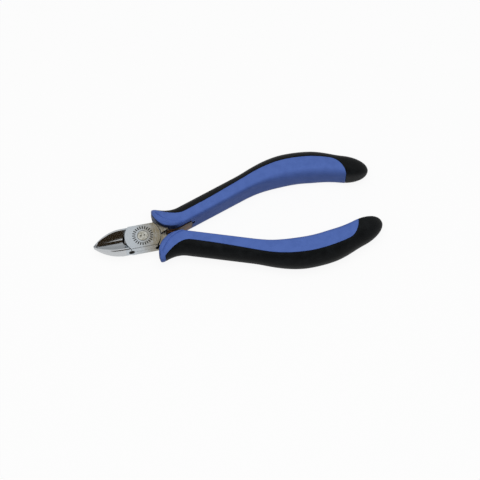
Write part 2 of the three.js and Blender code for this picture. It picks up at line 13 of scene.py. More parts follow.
import bmesh
import bpy
import numpy as np
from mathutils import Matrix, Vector

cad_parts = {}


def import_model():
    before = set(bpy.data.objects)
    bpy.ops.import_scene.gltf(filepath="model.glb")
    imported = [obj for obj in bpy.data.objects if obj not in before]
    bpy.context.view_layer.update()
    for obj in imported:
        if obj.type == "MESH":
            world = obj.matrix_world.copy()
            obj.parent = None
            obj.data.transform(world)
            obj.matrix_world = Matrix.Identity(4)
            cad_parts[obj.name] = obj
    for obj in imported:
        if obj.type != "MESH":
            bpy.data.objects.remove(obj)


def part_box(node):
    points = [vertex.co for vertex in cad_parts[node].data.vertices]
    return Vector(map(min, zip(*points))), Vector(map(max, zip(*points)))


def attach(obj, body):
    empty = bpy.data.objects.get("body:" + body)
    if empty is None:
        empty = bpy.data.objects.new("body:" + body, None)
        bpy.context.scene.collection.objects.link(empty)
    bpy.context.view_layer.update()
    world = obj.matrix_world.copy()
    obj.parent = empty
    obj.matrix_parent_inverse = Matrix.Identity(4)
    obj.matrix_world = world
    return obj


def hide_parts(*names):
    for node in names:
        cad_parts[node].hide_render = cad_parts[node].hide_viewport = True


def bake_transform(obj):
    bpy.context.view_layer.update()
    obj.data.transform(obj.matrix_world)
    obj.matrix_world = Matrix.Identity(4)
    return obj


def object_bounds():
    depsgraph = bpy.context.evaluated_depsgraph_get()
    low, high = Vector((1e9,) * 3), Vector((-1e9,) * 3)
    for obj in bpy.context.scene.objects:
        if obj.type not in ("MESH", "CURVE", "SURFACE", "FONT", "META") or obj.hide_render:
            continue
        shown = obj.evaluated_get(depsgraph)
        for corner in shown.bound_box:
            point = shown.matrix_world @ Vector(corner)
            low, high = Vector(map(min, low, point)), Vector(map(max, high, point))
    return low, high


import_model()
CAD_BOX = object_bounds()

log = logging.getLogger("pliers")

MM = 0.001
SHARP_ANGLE = math.radians(32)

# Points closer than WELD millimetres are one, and FAR lies outside every piece.
WELD = 1e-4
FAR = 60.0

# Shares of a rounded edge at which its points lie, and the most of a strip's half that it takes.
EDGE_WAYS = np.array((0.0, 0.12, 0.35, 0.65, 1.0))
EDGE_SHARE = 0.4

# Steps in which rows settle along the collar's front, and the share of the way in each step.
SETTLE_STEPS = 80
SETTLE_SHARE = 0.4

# Steps of the search for the bore's mouth, and the way behind the front where it starts.
MOUTH_STEPS = 20
MOUTH_GUESS = 2.0

# Halvings in the search for the tongue's tip, and the turn from which its seam counts as closed.
TIP_HALVINGS = 60
CLOSED_TURN = math.pi - 1e-6

# Middle of the range of a noise. The settings of a noise are its scale, detail and roughness.
NOISE_MIDDLE = 0.5

Colour = tuple[float, float, float, float]
Pair = tuple[float, float]
Triple = tuple[float, float, float]
Values = np.ndarray | float
Columns = Callable[[np.ndarray, np.ndarray], tuple[np.ndarray, np.ndarray]]
Term = "Wire | float | Sequence[float]"
Mixable = "Wire | np.ndarray | float"

WHITE: Colour = (1.0, 1.0, 1.0, 1.0)


class Cut(Enum):
    """How a tool changes the blank it is set against."""

    JOIN = "UNION"
    TAKE = "DIFFERENCE"
    KEEP = "INTERSECT"


class Side(Enum):
    """The two handles, with the lever that carries each and the one it swings against."""

    UPPER = ("upper", "back_lever", "front_lever")
    LOWER = ("lower", "front_lever", "back_lever")

    @property
    def label(self) -> str:
        """Word used in the names of the handle's pieces."""
        return self.value[0]

    @property
    def body(self) -> str:
        """Body that carries the handle."""
        return self.value[1]

    @property
    def other_body(self) -> str:
        """Body of the opposite handle."""
        return self.value[2]


class Marks(Enum):
    """Marks that the making of a small metal piece leaves on it."""

    RINGS = "rings about the pivot axis"
    LINES = "lines along a strip"
    PATCHES = "nothing but its patches"


def pivot_centre() -> Vector:
    """Middle of the pivot screw in the frame, in metres."""
    low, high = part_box("pivot_screw")
    return (low + high) / 2


PIVOT = pivot_centre()


def in_frame(point: Sequence[float]) -> Vector:
    """Point about the pivot in millimetres, moved into the frame in metres."""
    return PIVOT + MM * Vector(point)


def new_object(name: str, data: bpy.types.ID) -> bpy.types.Object:
    """Object of a mesh, camera or light, linked to the scene.

    Args:
        name: Name of the object.
        data: What it shows.

    Returns:
        The object.
    """
    made = bpy.data.objects.new(name, data)
    bpy.context.scene.collection.objects.link(made)
    return made


# Shapes

def lerp(start: Mixable, end: Mixable, share: Mixable) -> Mixable:
    """Value between start and end at a share."""
    return start + (end - start) * share


def smoothstep(value: np.ndarray, low: float, high: float) -> np.ndarray:
    """Smooth rise from 0 at low to 1 at high."""
    share = np.clip((value - low) / (high - low), 0.0, 1.0)
    return share * share * (3.0 - 2.0 * share)


def directions(count: int) -> np.ndarray:
    """Evenly spaced directions all around, in radians."""
    return before(0, 2 * math.pi, count)


def quarter(count: int) -> np.ndarray:
    """Evenly spaced turns over a quarter turn, in radians."""
    return np.linspace(0, math.pi / 2, count)


def after(start: float, end: float, count: int) -> np.ndarray:
    """Evenly spaced values behind a start, up to an end."""
    return np.linspace(start, end, count + 1)[1:]


def before(start: Values, end: Values, count: int) -> np.ndarray:
    """Evenly spaced values from a start, up to just before an end."""
    return np.linspace(start, end, count, endpoint=False)


def rounding(radius: float, count: int) -> np.ndarray:
    """Ways in from the two faces that meet at a rounded edge.

    Args:
        radius: Radius of the edge.
        count: Number of points on it.

    Returns:
        Pairs of ways, from 0 and the radius to the radius and 0.
    """
    turn = quarter(count)
    return radius * np.stack((1 - np.cos(turn), 1 - np.sin(turn)), axis=-1)


def round_square(turn: np.ndarray, power: Values) -> tuple[np.ndarray, np.ndarray]:
    """Points of a unit superellipse in the direction of each turn.

    Args:
        turn: Directions in radians.
        power: Exponent, 2 for a circle and more for a squarer form.

    Returns:
        The two coordinates of each point.
    """
    across, up = np.cos(turn), np.sin(turn)
    size = (np.abs(across) ** power + np.abs(up) ** power) ** (1.0 / power)
    return across / size, up / size


def corner_drop(distance: np.ndarray, radius: Values) -> np.ndarray:
    """Depth of a rounded corner at a distance in from its edge."""
    rest = np.clip(radius - distance, 0.0, radius)
    return radius - np.sqrt(np.maximum(radius ** 2 - rest ** 2, 0.0))


def tangents(line: np.ndarray) -> np.ndarray:
    """Unit vectors along a line of points."""
    run = np.gradient(line, axis=0)
    return run / np.linalg.norm(run, axis=1)[:, None]


@dataclass
class Skin:
    """Closed surface in millimetres, as points and faces."""

    points: np.ndarray
    faces: list[tuple[int, ...]]

    def flipped(self) -> "Skin":
        """The same surface after half a turn about X."""
        return Skin(self.points * np.array((1.0, -1.0, -1.0)), self.faces)

    def moved(self, x: float, y: float, z: float) -> "Skin":
        """The same surface at another place."""
        return Skin(self.points + np.array((x, y, z)), self.faces)

    def turned(self, angle: float) -> "Skin":
        """The same surface turned about Z."""
        c, s = math.cos(angle), math.sin(angle)
        return Skin(self.points @ np.array(((c, s, 0), (-s, c, 0), (0, 0, 1))), self.faces)

    def beside(self, other: "Skin") -> "Skin":
        """Both surfaces as one.

        Args:
            other: Surface that is added.

        Returns:
            The skin.
        """
        shift = len(self.points)
        faces = [tuple(k + shift for k in face) for face in other.faces]
        return Skin(np.concatenate((self.points, other.points)), self.faces + faces)


def sheet_faces(
    rows: int, columns: int, first: int = 0, closed: bool = False
) -> list[tuple[int, ...]]:
    """Quads of a grid of points.

    Args:
        rows: Number of rows.
        columns: Number of points in a row.
        first: Index of the grid's first point.
        closed: Whether each row ends where it starts.

    Returns:
        The faces.
    """
    faces = []
    for row in range(rows - 1):
        for k in range(columns if closed else columns - 1):
            a = first + row * columns + k
            b = first + row * columns + (k + 1) % columns
            faces.append((a, b, b + columns, a + columns))
    return faces


def loft(rings: np.ndarray, capped: bool = True) -> Skin:
    """Skin through rings of equally many points.

    Args:
        rings: Array of rings, points and coordinates.
        capped: Whether the first and the last ring are closed by a face.

    Returns:
        The skin.
    """
    count, size = rings.shape[:2]
    faces = sheet_faces(count, size, closed=True)
    if capped:
        faces.append(tuple(range(size)))
        faces.append(tuple(range((count - 1) * size, count * size)))
    return Skin(rings.reshape(-1, 3), faces)


def prism(outline: Sequence[Sequence[float]], bottom: float, top: float) -> Skin:
    """Upright body on an outline of x and y pairs."""
    return loft(np.array([[(x, y, z) for x, y in outline] for z in (bottom, top)]))


def block(x: Pair, y: Pair, z: Pair) -> Skin:
    """Box between pairs of limits."""
    return prism([(x[0], y[0]), (x[1], y[0]), (x[1], y[1]), (x[0], y[1])], *z)


def lathe(profile: Sequence[Pair], capped: bool = True, segments: int = 96) -> Skin:
    """Round body about the pivot axis.

    Args:
        profile: Pairs of radius and height.
        capped: Whether the profile's ends are closed; a ring profile ends where it starts.
        segments: Number of points around.

    Returns:
        The skin.
    """
    turn = directions(segments)
    rings = [
        np.stack((radius * np.cos(turn), radius * np.sin(turn), np.full(segments, height)), axis=-1)
        for radius, height in profile
    ]
    return loft(np.array(rings), capped)


def rod(radius: float, low: float, high: float, segments: int = 96) -> Skin:
    """Plain round body about the pivot axis."""
    return lathe([(0, low), (radius, low), (radius, high), (0, high)], segments=segments)


class Solid:
    """Blender object under construction, cut and joined with others."""

    def __init__(self, skin: Skin, name: str = "tool") -> None:
        """Makes a clean, outward facing mesh of a skin.

        Args:
            skin: Surface in millimetres.
            name: Name of the object.
        """
        mesh = bpy.data.meshes.new(name)
        mesh.from_pydata(skin.points.tolist(), [], skin.faces)
        work = bmesh.new()
        work.from_mesh(mesh)
        bmesh.ops.remove_doubles(work, verts=work.verts, dist=WELD)
        bmesh.ops.dissolve_degenerate(work, dist=WELD, edges=work.edges)
        bmesh.ops.recalc_face_normals(work, faces=work.faces)
        work.to_mesh(mesh)
        work.free()
        self.object = new_object(name, mesh)

    def worked(self, tool: "Solid", cut: Cut) -> "Solid":
        """Joins another solid to this one, or cuts this one with it.

        Args:
            tool: Solid that is used up.
            cut: What is done with it.

        Returns:
            This solid.
        """
        modifier = self.object.modifiers.new("work", "BOOLEAN")
        modifier.object = tool.object
        modifier.operation = cut.value
        modifier.solver = "EXACT"
        graph = bpy.context.evaluated_depsgraph_get()
        shape = bpy.data.meshes.new_from_object(self.object.evaluated_get(graph))
        self.object.modifiers.clear()
        used = [self.object.data, tool.object.data]
        self.object.data = shape
        bpy.data.objects.remove(tool.object)
        for mesh in used:
            bpy.data.meshes.remove(mesh)
        return self

    def dressed(self, finish: "Finish", node: str, slot: str) -> bpy.types.Object:
        """Moves the solid into the frame, dresses it and lets it stand for a CAD node.

        Args:
            finish: Finish of its surface.
            node: CAD node that it replaces.
            slot: Material slot in the record; not used.

        Returns:
            The finished object, which doesn't ride on a body yet.
        """
        mesh = self.object.data
        points = np.empty(3 * len(mesh.vertices), np.float32)
        mesh.vertices.foreach_get("co", points)
        placed = np.array(PIVOT) + MM * points.reshape(-1, 3)
        mesh.vertices.foreach_set("co", placed.astype(np.float32).ravel())
        mesh.polygons.foreach_set("use_smooth", np.ones(len(mesh.polygons), bool))
        mesh.set_sharp_from_angle(angle=SHARP_ANGLE)
        mesh.materials.clear()
        mesh.materials.append(finish.material())
        mesh.update()
        weighted = self.object.modifiers.new("even_normals", "WEIGHTED_NORMAL")
        weighted.keep_sharp = True
        self.object.name = f"{node}_look"
        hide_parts(node)
        log.info("%s stands for %s", self.object.name, node)
        return self.object


# Shader building

class Wire:
    """Output of a shader node, with arithmetic that adds Math nodes."""

    def __init__(self, board: "Board", socket: bpy.types.NodeSocket) -> None:
        """Keeps the board and the socket."""
        self.board = board
        self.socket = socket

    def _with(self, operation: str, first: Term, second: Term) -> "Wire":
        """Result of a Math node on two terms."""
        return self.board.node("ShaderNodeMath", {"operation": operation}, {0: first, 1: second})

    def __add__(self, other: Term) -> "Wire":
        """Sum."""
        return self._with("ADD", self, other)

    def __radd__(self, other: Term) -> "Wire":
        """Sum with a number in front."""
        return self._with("ADD", other, self)

    def __sub__(self, other: Term) -> "Wire":
        """Difference."""
        return self._with("SUBTRACT", self, other)

    def __rsub__(self, other: Term) -> "Wire":
        """Difference with a number in front."""
        return self._with("SUBTRACT", other, self)

    def __mul__(self, other: Term) -> "Wire":
        """Product."""
        return self._with("MULTIPLY", self, other)

    def __rmul__(self, other: Term) -> "Wire":
        """Product with a number in front."""
        return self._with("MULTIPLY", other, self)

    def __pow__(self, other: Term) -> "Wire":
        """Power."""
        return self._with("POWER", self, other)

    def at_least(self, other: Term) -> "Wire":
        """Larger of two values."""
        return self._with("MAXIMUM", self, other)

    def size(self) -> "Wire":
        """Value without its sign."""
        return self._with("ABSOLUTE", self, 0.0)

    def hypot(self, other: "Wire") -> "Wire":
        """Distance over two ways at right angles."""
        return (self * self + other * other) ** 0.5

    def between(self, low: float, high: float) -> "Wire":
        """Smooth step between two limits.

        Args:
            low: Limit at which it is 0.
            high: Limit at which it is 1; the step falls where this is the smaller one.

        Returns:
            The wire of the step.
        """
        settings = {"interpolation_type": "SMOOTHSTEP"}
        if low < high:
            return self.board.node("ShaderNodeMapRange", settings, {0: self, 1: low, 2: high})
        return 1.0 - self.between(high, low)


class Board:
    """Node tree of one material or of the world."""

    def __init__(self, tree: bpy.types.NodeTree) -> None:
        """Empties the tree and keeps it."""
        self.tree = tree
        tree.nodes.clear()

    def node(self, kind: str, settings: dict, values: dict, output: int | str = 0) -> Wire:
        """Adds any node.

        Args:
            kind: Type of the node.
            settings: Properties that are set first.
            values: Numbers, colours or wires for its sockets, by index or name.
            output: Output that is returned.

        Returns:
            The wire of that output.
        """
        made = self.tree.nodes.new(kind)
        for name, value in settings.items():
            setattr(made, name, value)
        for key, value in values.items():
            if isinstance(value, Wire):
                self.tree.links.new(value.socket, made.inputs[key])
            else:
                made.inputs[key].default_value = value
        return Wire(self, made.outputs[output] if len(made.outputs) else None)

    def vector(self, operation: str, values: dict) -> Wire:
        """Result of a Vector Math node."""
        return self.node("ShaderNodeVectorMath", {"operation": operation}, values)

    def place(self) -> Wire:
        """Surface point about the pivot, in millimetres."""
        point = self.node("ShaderNodeTexCoord", {}, {}, "Object")
        return self.vector("SCALE", {0: self.vector("SUBTRACT", {0: point, 1: PIVOT}), "Scale": 1.0 / MM})

    def stretched(self, point: Wire, x: float, y: float, z: float) -> Wire:
        """Point with each axis scaled."""
        return self.vector("MULTIPLY", {0: point, 1: (x, y, z)})

    def parts(self, point: Wire) -> tuple[Wire, Wire, Wire]:
        """The three coordinates of a point."""
        outputs = self.node("ShaderNodeSeparateXYZ", {}, {0: point}).socket.node.outputs
        return tuple(Wire(self, outputs[k]) for k in range(3))

    def noise(self, point: Wire, scale: float, detail: float, rough: float) -> Wire:
        """Cloudy noise, with features of about 1 / scale millimetres."""
        values = {"Vector": point, "Scale": scale, "Detail": detail, "Roughness": rough}
        return self.node("ShaderNodeTexNoise", {}, values)

    def mixed(self, share: Term, first: Term, second: Term) -> Wire:
        """Colour between two colours."""
        settings = {"data_type": "RGBA", "clamp_factor": True}
        return self.node("ShaderNodeMix", settings, {0: share, 6: first, 7: second}, 2)

    def bump(self, height: Wire, strength: float, distance: float) -> Wire:
        """Normal of a surface with a height in millimetres on it."""
        values = {"Strength": strength, "Distance": distance * MM, "Height": height}
        return self.node("ShaderNodeBump", {}, values)

    def glow(self, colour: Colour) -> Wire:
        """Shader that sends out a colour as it is."""
        return self.node("ShaderNodeEmission", {}, {"Color": colour, "Strength": 1.0})

    def background_rays(self) -> Wire:
        """Rays that show the background, straight or in metal and glass.

        Returns:
            The wire, which is 1 for those rays.
        """
        outputs = self.node("ShaderNodeLightPath", {}, {}).socket.node.outputs
        straight = Wire(self, outputs["Is Camera Ray"])
        glossy = Wire(self, outputs["Is Glossy Ray"])
        through = Wire(self, outputs["Is Transmission Ray"])
        return straight.at_least(glossy).at_least(through)

    def surface(self, shader: Wire) -> None:
        """Makes a shader the material's surface."""
        self.node("ShaderNodeOutputMaterial", {}, {"Surface": shader})

    def principled(self, values: dict) -> None:
        """Makes a Principled shader the material's surface."""
        self.surface(self.node("ShaderNodeBsdfPrincipled", {}, values))


class Finish:
    """Base of all finishes: a material that is made once."""

    name: str

    def material(self) -> bpy.types.Material:
        """Makes the material when it is first asked for.

        Returns:
            The material.
        """
        known = bpy.data.materials.get(self.name)
        if known is not None:
            return known
        made = bpy.data.materials.new(self.name)
        made.use_nodes = True
        self.paint(Board(made.node_tree))
        return made

    def paint(self, board: Board) -> None:
        """Draws the shader; each finish has its own."""
        raise NotImplementedError


# Finishes of the steel

@dataclass(frozen=True)
class GroundSteel(Finish):
    """Ground lever steel: brush streaks, fine speckle, an oily tint towards the handles that is darkened
    as painted shade between the plate and the collars, and painted shade in the relief groove.
    """

    head: "Head"
    name: str = "ground_steel"
    pale: Colour = (0.50, 0.535, 0.56, 1.0)
    # Brown oil tint, made darker than oil alone to paint the shade between the plate and the collars.
    cool: Colour = (0.345, 0.39, 0.44, 1.0)
    oil_and_shade: Colour = (0.20, 0.165, 0.10, 1.0)
    jaw: Colour = (0.50, 0.51, 0.52, 1.0)
    stamped: Colour = (0.02, 0.02, 0.018, 1.0)
    # Near black colour painted as shade in the relief groove.
    groove_shade: Colour = (0.012, 0.011, 0.01, 1.0)
    roughness: float = 0.27
    jaw_roughness: float = 0.15
    grain_sway: float = 0.16
    oil_sway: float = 0.12
    dark_sway: float = 0.2
    dark_metal_loss: float = 0.6
    streak_stretch: Triple = (5.0, 0.35, 1.0)
    streak_noise: Triple = (1.0, 4.0, 0.65)
    cross_stretch: Triple = (0.4, 4.0, 2.0)
    cross_noise: Triple = (1.2, 4.0, 0.6)
    speckle_noise: Triple = (4.5, 2.0, 0.6)
    speckle_limits: Pair = (0.42, 0.68)
    speckle_height: float = 0.5
    jaw_margin: Pair = (0.1, 0.6)
    jaw_shares: Pair = (0.55, 0.45)
    jaw_smoothing: float = 0.8
    # Where the oil tint and its painted shade lie: rising along X towards the handles, in streaks.
    oil_shade_noise: Triple = (0.35, 3.0, 0.5)
    oil_shade_reach: Pair = (-5.0, 7.5)
    oil_shade_drift: float = 7.0
    oil_shade_share: float = 0.95
    oil_shade_streak_limits: Pair = (0.2, 0.55)
    bump_strength: float = 0.12
    bump_height: float = 0.01
    stroke_top: Pair = (0.03, 0.1)
    stroke_floor: Pair = (0.4, 0.3)
    ring_margin: Pair = (0.65, 0.45)
    groove_margin: Pair = (0.06, 0.02)

    def strokes(self, radius: Wire, z: Wire) -> Wire:
        """Where the stamped strokes lie: in their ring, and a little below the front face.

        Args:
            radius: Distance from the pivot axis.
            z: Way to the front.

        Returns:
            The mask.
        """
        start, end = self.head.tick_from, self.head.tick_to
        far, near = self.ring_margin
        depth = self.head.half_joint - z
        ring = radius.between(start - far, start - near) * radius.between(end + far, end + near)
        return depth.between(*self.stroke_top) * depth.between(*self.stroke_floor) * ring

    def groove(self, radius: Wire, z: Wire) -> Wire:
        """Where the relief groove lies, close to the middle of its round section; the steel is painted
        near black there as shade.

        Args:
            radius: Distance from the pivot axis.
            z: Way to the front.

        Returns:
            The mask.
        """
        far, near = self.groove_margin
        reach = self.head.relief_radius
        way = (radius - self.head.seam_radius).hypot(z.size() - self.head.relief_height)
        return way.between(reach + far, reach + near)

    def paint(self, board: Board) -> None:
        """Draws the shader.

        Args:
            board: Empty board of the material.
        """
        point = board.place()
        x, y, z = board.parts(point)
        radius = x.hypot(y)
        streaks = board.noise(board.stretched(point, *self.streak_stretch), *self.streak_noise)
        cross = board.noise(board.stretched(point, *self.cross_stretch), *self.cross_noise)
        speckle = board.noise(point, *self.speckle_noise)
        near, far = self.jaw_margin
        jaw = x.between(-self.head.plate_radius - near, -self.head.plate_radius - far)
        plain = board.mixed(speckle.between(*self.speckle_limits), self.pale, self.cool)
        # Mask of the oil tint, which also paints shade between the plate and the collars; it stays off
        # the jaws.
        drift = self.oil_shade_drift * (board.noise(point, *self.oil_shade_noise) - NOISE_MIDDLE)
        oil_and_shade_mask = (x + drift).between(*self.oil_shade_reach) * (1.0 - jaw)
        oil_tint_and_shade = self.oil_shade_share * oil_and_shade_mask * streaks.between(*self.oil_shade_streak_limits)
        least, more = self.jaw_shares
        ground = board.mixed(jaw * (least + more * cross), board.mixed(oil_tint_and_shade, plain, self.oil_and_shade), self.jaw)
        sunk, groove = self.strokes(radius, z), self.groove(radius, z)
        dark = sunk.at_least(groove)
        grain = lerp(streaks, cross, jaw)
        rough = self.roughness + self.grain_sway * (grain - NOISE_MIDDLE) + self.oil_sway * oil_and_shade_mask
        height = (grain + self.speckle_height * speckle) * (1.0 - self.jaw_smoothing * jaw)
        # The relief groove is painted near black as shade, with less metal and more roughness; the
        # stamped strokes are dark marks of their own.
        board.principled({
            "Base Color": board.mixed(groove, board.mixed(sunk, ground, self.stamped), self.groove_shade),
            "Metallic": 1.0 - self.dark_metal_loss * dark,
            "Roughness": lerp(rough, self.jaw_roughness, jaw) + self.dark_sway * dark,
            "Normal": board.bump(height, self.bump_strength, self.bump_height),
        })


@dataclass(frozen=True)
class SmallMetal(Finish):
    """Metal of a small piece: a tone with patches of another, and the marks of its making."""

    name: str
    tone: Colour
    patch: Colour
    patch_noise: Triple
    patch_limits: Pair
    roughness: float
    sway: float
    marks: Marks
    marks_scale: float
    marks_strength: float
    marks_height: float = 0.02
    even_level: float = 0.4
    strip_stretch: Triple = (0.25, 0.5, 5.0)
    strip_detail: float = 4.0
    strip_rough: float = 0.6

    def drawn_marks(self, board: Board, point: Wire, patches: Wire) -> Wire:
        """Draws the marks.

        Args:
            board: Board of the material.
            point: Surface point.
            patches: Noise of the patches.

        Returns:
            The height of the marks.
        """
        if self.marks is Marks.RINGS:
            x, y, _ = board.parts(point)
            values = {"W": x.hypot(y), "Scale": self.marks_scale}
            return board.node("ShaderNodeTexNoise", {"noise_dimensions": "1D"}, values)
        if self.marks is Marks.LINES:
            along = board.stretched(point, *self.strip_stretch)
            return board.noise(along, self.marks_scale, self.strip_detail, self.strip_rough)
        return patches

    def paint(self, board: Board) -> None:
        """Draws the shader.

        Args:
            board: Empty board of the material.
        """
        point = board.place()
        patches = board.noise(point, *self.patch_noise)
        marks = self.drawn_marks(board, point, patches)
        uneven = marks if self.marks is Marks.LINES else patches
        board.principled({
            "Base Color": board.mixed(patches.between(*self.patch_limits), self.tone, self.patch),
            "Metallic": 1.0,
            "Roughness": self.roughness + self.sway * (uneven - self.even_level),
            "Normal": board.bump(marks, self.marks_strength, self.marks_height),
        })


@dataclass(frozen=True)
class TurnedSteel(SmallMetal):
    """Turned end of the pivot screw, with fine rings about its axis."""

    name: str = "turned_steel"
    tone: Colour = (0.50, 0.50, 0.46, 1.0)
    patch: Colour = (0.28, 0.27, 0.22, 1.0)
    patch_noise: Triple = (1.1, 3.0, 0.6)
    patch_limits: Pair = (0.4, 0.65)
    roughness: float = 0.26
    sway: float = 0.2
    marks: Marks = Marks.RINGS
    marks_scale: float = 5.0
    marks_strength: float = 0.3


@dataclass(frozen=True)
class BluedSteel(SmallMetal):
    """Tempered spring strip: brown oxide with warmer patches and drawn lines."""

    name: str = "blued_steel"
    tone: Colour = (0.03, 0.02, 0.015, 1.0)
    patch: Colour = (0.10, 0.047, 0.022, 1.0)
    patch_noise: Triple = (0.22, 2.0, 0.5)
    patch_limits: Pair = (0.35, 0.75)
    roughness: float = 0.28
    sway: float = 0.2
    marks: Marks = Marks.LINES
    marks_scale: float = 1.0
    marks_strength: float = 0.3


@dataclass(frozen=True)
class DrawnWire(SmallMetal):
    """Bright drawn wire with greyer patches."""

    name: str = "drawn_wire"
    tone: Colour = (0.68, 0.68, 0.66, 1.0)
    patch: Colour = (0.42, 0.42, 0.41, 1.0)
    patch_noise: Triple = (1.6, 4.0, 0.6)
    patch_limits: Pair = (0.45, 0.75)
    roughness: float = 0.22
    sway: float = 0.2
    marks: Marks = Marks.PATCHES
    marks_scale: float = 1.0
    marks_strength: float = 0.2


@dataclass(frozen=True)
class Brass(SmallMetal):
    """Turned brass that has dulled in patches."""

    name: str = "turned_brass"
    tone: Colour = (0.63, 0.45, 0.17, 1.0)
    patch: Colour = (0.33, 0.22, 0.08, 1.0)
    patch_noise: Triple = (1.3, 4.0, 0.6)
    patch_limits: Pair = (0.42, 0.7)
    roughness: float = 0.28
    sway: float = 0.25
    marks: Marks = Marks.RINGS
    marks_scale: float = 6.0
    marks_strength: float = 0.25


# Finishes of the grips

@dataclass(frozen=True, kw_only=True)
class Moulded(Finish):
    """Moulded plastic or rubber: a tone with patches of another, and a fine grain."""

    name: str
    tone: Colour
    patch: Colour
    patch_noise: Triple
    patch_limits: Pair
    grain_noise: Triple
    grain_strength: float
    grain_height: float
    roughness: float
    patch_sway: float
    grain_sway: float = 0.1
    specular: float

    def shaded(self, board: Board, point: Wire, colour: Wire) -> Wire:
        """Colour with its painted shade; a plain moulding has none."""
        return colour

    def paint(self, board: Board) -> None:
        """Draws the shader.

        Args:
            board: Empty board of the material.
        """
        point = board.place()
        grain = board.noise(point, *self.grain_noise)
        patches = board.noise(point, *self.patch_noise)
        colour = board.mixed(patches.between(*self.patch_limits), self.tone, self.patch)
        rough = self.roughness + self.patch_sway * (patches - NOISE_MIDDLE)
        board.principled({
            "Base Color": self.shaded(board, point, colour),
            "Roughness": rough + self.grain_sway * (grain - NOISE_MIDDLE),
            "Specular IOR Level": self.specular,
            "Normal": board.bump(grain, self.grain_strength, self.grain_height),
        })


@dataclass(frozen=True, kw_only=True)
class HardPlastic(Moulded):
    """Hard blue plastic with a spark-eroded grain, with painted shade in the hook's hole and on the front
    face of the collar.
    """

    grip: "Handle"
    name: str = "hard_plastic"
    tone: Colour = (0.092, 0.162, 0.470, 1.0)
    patch: Colour = (0.081, 0.145, 0.430, 1.0)
    patch_noise: Triple = (0.25, 4.0, 0.6)
    patch_limits: Pair = (0.35, 0.7)
    grain_noise: Triple = (6.0, 2.0, 0.5)
    grain_strength: float = 0.2
    grain_height: float = 0.03
    roughness: float = 0.42
    patch_sway: float = 0.12
    specular: float = 0.05
    # Near black painted shade for the hook's hole and the collar's front face.
    shade: Colour = (0.006, 0.008, 0.014, 1.0)
    hole_margin: Pair = (0.1, 0.04)
    hole_top: Pair = (0.02, 0.1)
    hole_floor: Pair = (2.4, 2.2)
    front_skin: Pair = (-0.35, -0.1)
    front_side: Pair = (-1.0, -5.0)
    front_share: float = 0.85

    def shaded(self, board: Board, point: Wire, colour: Wire) -> Wire:
        """Colour with painted shade in the hook's hole and on the front face of the collar.

        Args:
            board: Board of the material.
            point: Surface point.
            colour: Plain colour.

        Returns:
            The shaded colour.
        """
        grip = self.grip
        x, y, z = board.parts(point)
        run, rise = math.cos(grip.spine.neck_angle), math.sin(grip.spine.neck_angle)
        station, offset = x * run + y.size() * rise, y.size() * run - x * rise
        depth = offset + grip.neck_half
        way = (station - grip.hook_station).hypot(z)
        far, near = self.hole_margin
        inside = way.between(grip.hook_hole + far, grip.hook_hole + near)
        inside = inside * depth.between(*self.hole_top) * depth.between(*self.hole_floor)
        back = station - grip.collar_station
        ahead = back.hypot(offset - grip.collar_offset) - grip.collar_radius
        front = ahead.between(*self.front_skin) * back.between(*self.front_side)
        return board.mixed(inside.at_least(self.front_share * front), colour, self.shade)


@dataclass(frozen=True, kw_only=True)
class SoftRubber(Moulded):
    """Soft black pad: matt, finely grained, with rubbed patches."""

    name: str = "soft_rubber"
    tone: Colour = (0.0040, 0.0046, 0.0050, 1.0)
    patch: Colour = (0.0080, 0.0092, 0.0100, 1.0)
    patch_noise: Triple = (0.22, 4.0, 0.6)
    patch_limits: Pair = (0.4, 0.75)
    grain_noise: Triple = (4.0, 3.0, 0.6)
    grain_strength: float = 0.3
    grain_height: float = 0.04
    roughness: float = 0.5
    patch_sway: float = 0.15
    specular: float = 0.08


# Handles

@dataclass(frozen=True)
class Spine:
    """Middle line of the upper handle: a straight neck, a bow and a straight tail."""

    neck_angle: float = math.radians(19.3)
    neck_length: float = 63.5
    bow_radius: float = 65.5
    bow_turn: float = math.radians(37.4)
    tail_length: float = 20.8

    @property
    def bow_length(self) -> float:
        """Length of the bow along the line."""
        return self.bow_radius * self.bow_turn

    @property
    def length(self) -> float:
        """Length of the whole line."""
        return self.neck_length + self.bow_length + self.tail_length

    def at(self, station: Values, offset: Values, height: Values) -> np.ndarray:
        """Points beside the line.

        Args:
            station: Way along the line.
            offset: Way outward from it, in the plane of the handles.
            height: Way to the front.

        Returns:
            Array of points.
        """
        start, radius = self.neck_angle, self.bow_radius
        angle = start - np.clip(station - self.neck_length, 0, self.bow_length) / radius
        neck = np.minimum(station, self.neck_length)
        tail = np.maximum(station - self.neck_length - self.bow_length, 0)
        x = neck * math.cos(start) + radius * (math.sin(start) - np.sin(angle))
        y = neck * math.sin(start) + radius * (np.cos(angle) - math.cos(start))
        x = x + tail * np.cos(angle) - offset * np.sin(angle)
        y = y + tail * np.sin(angle) + offset * np.cos(angle)
        return np.stack(np.broadcast_arrays(x, y, height), axis=-1)


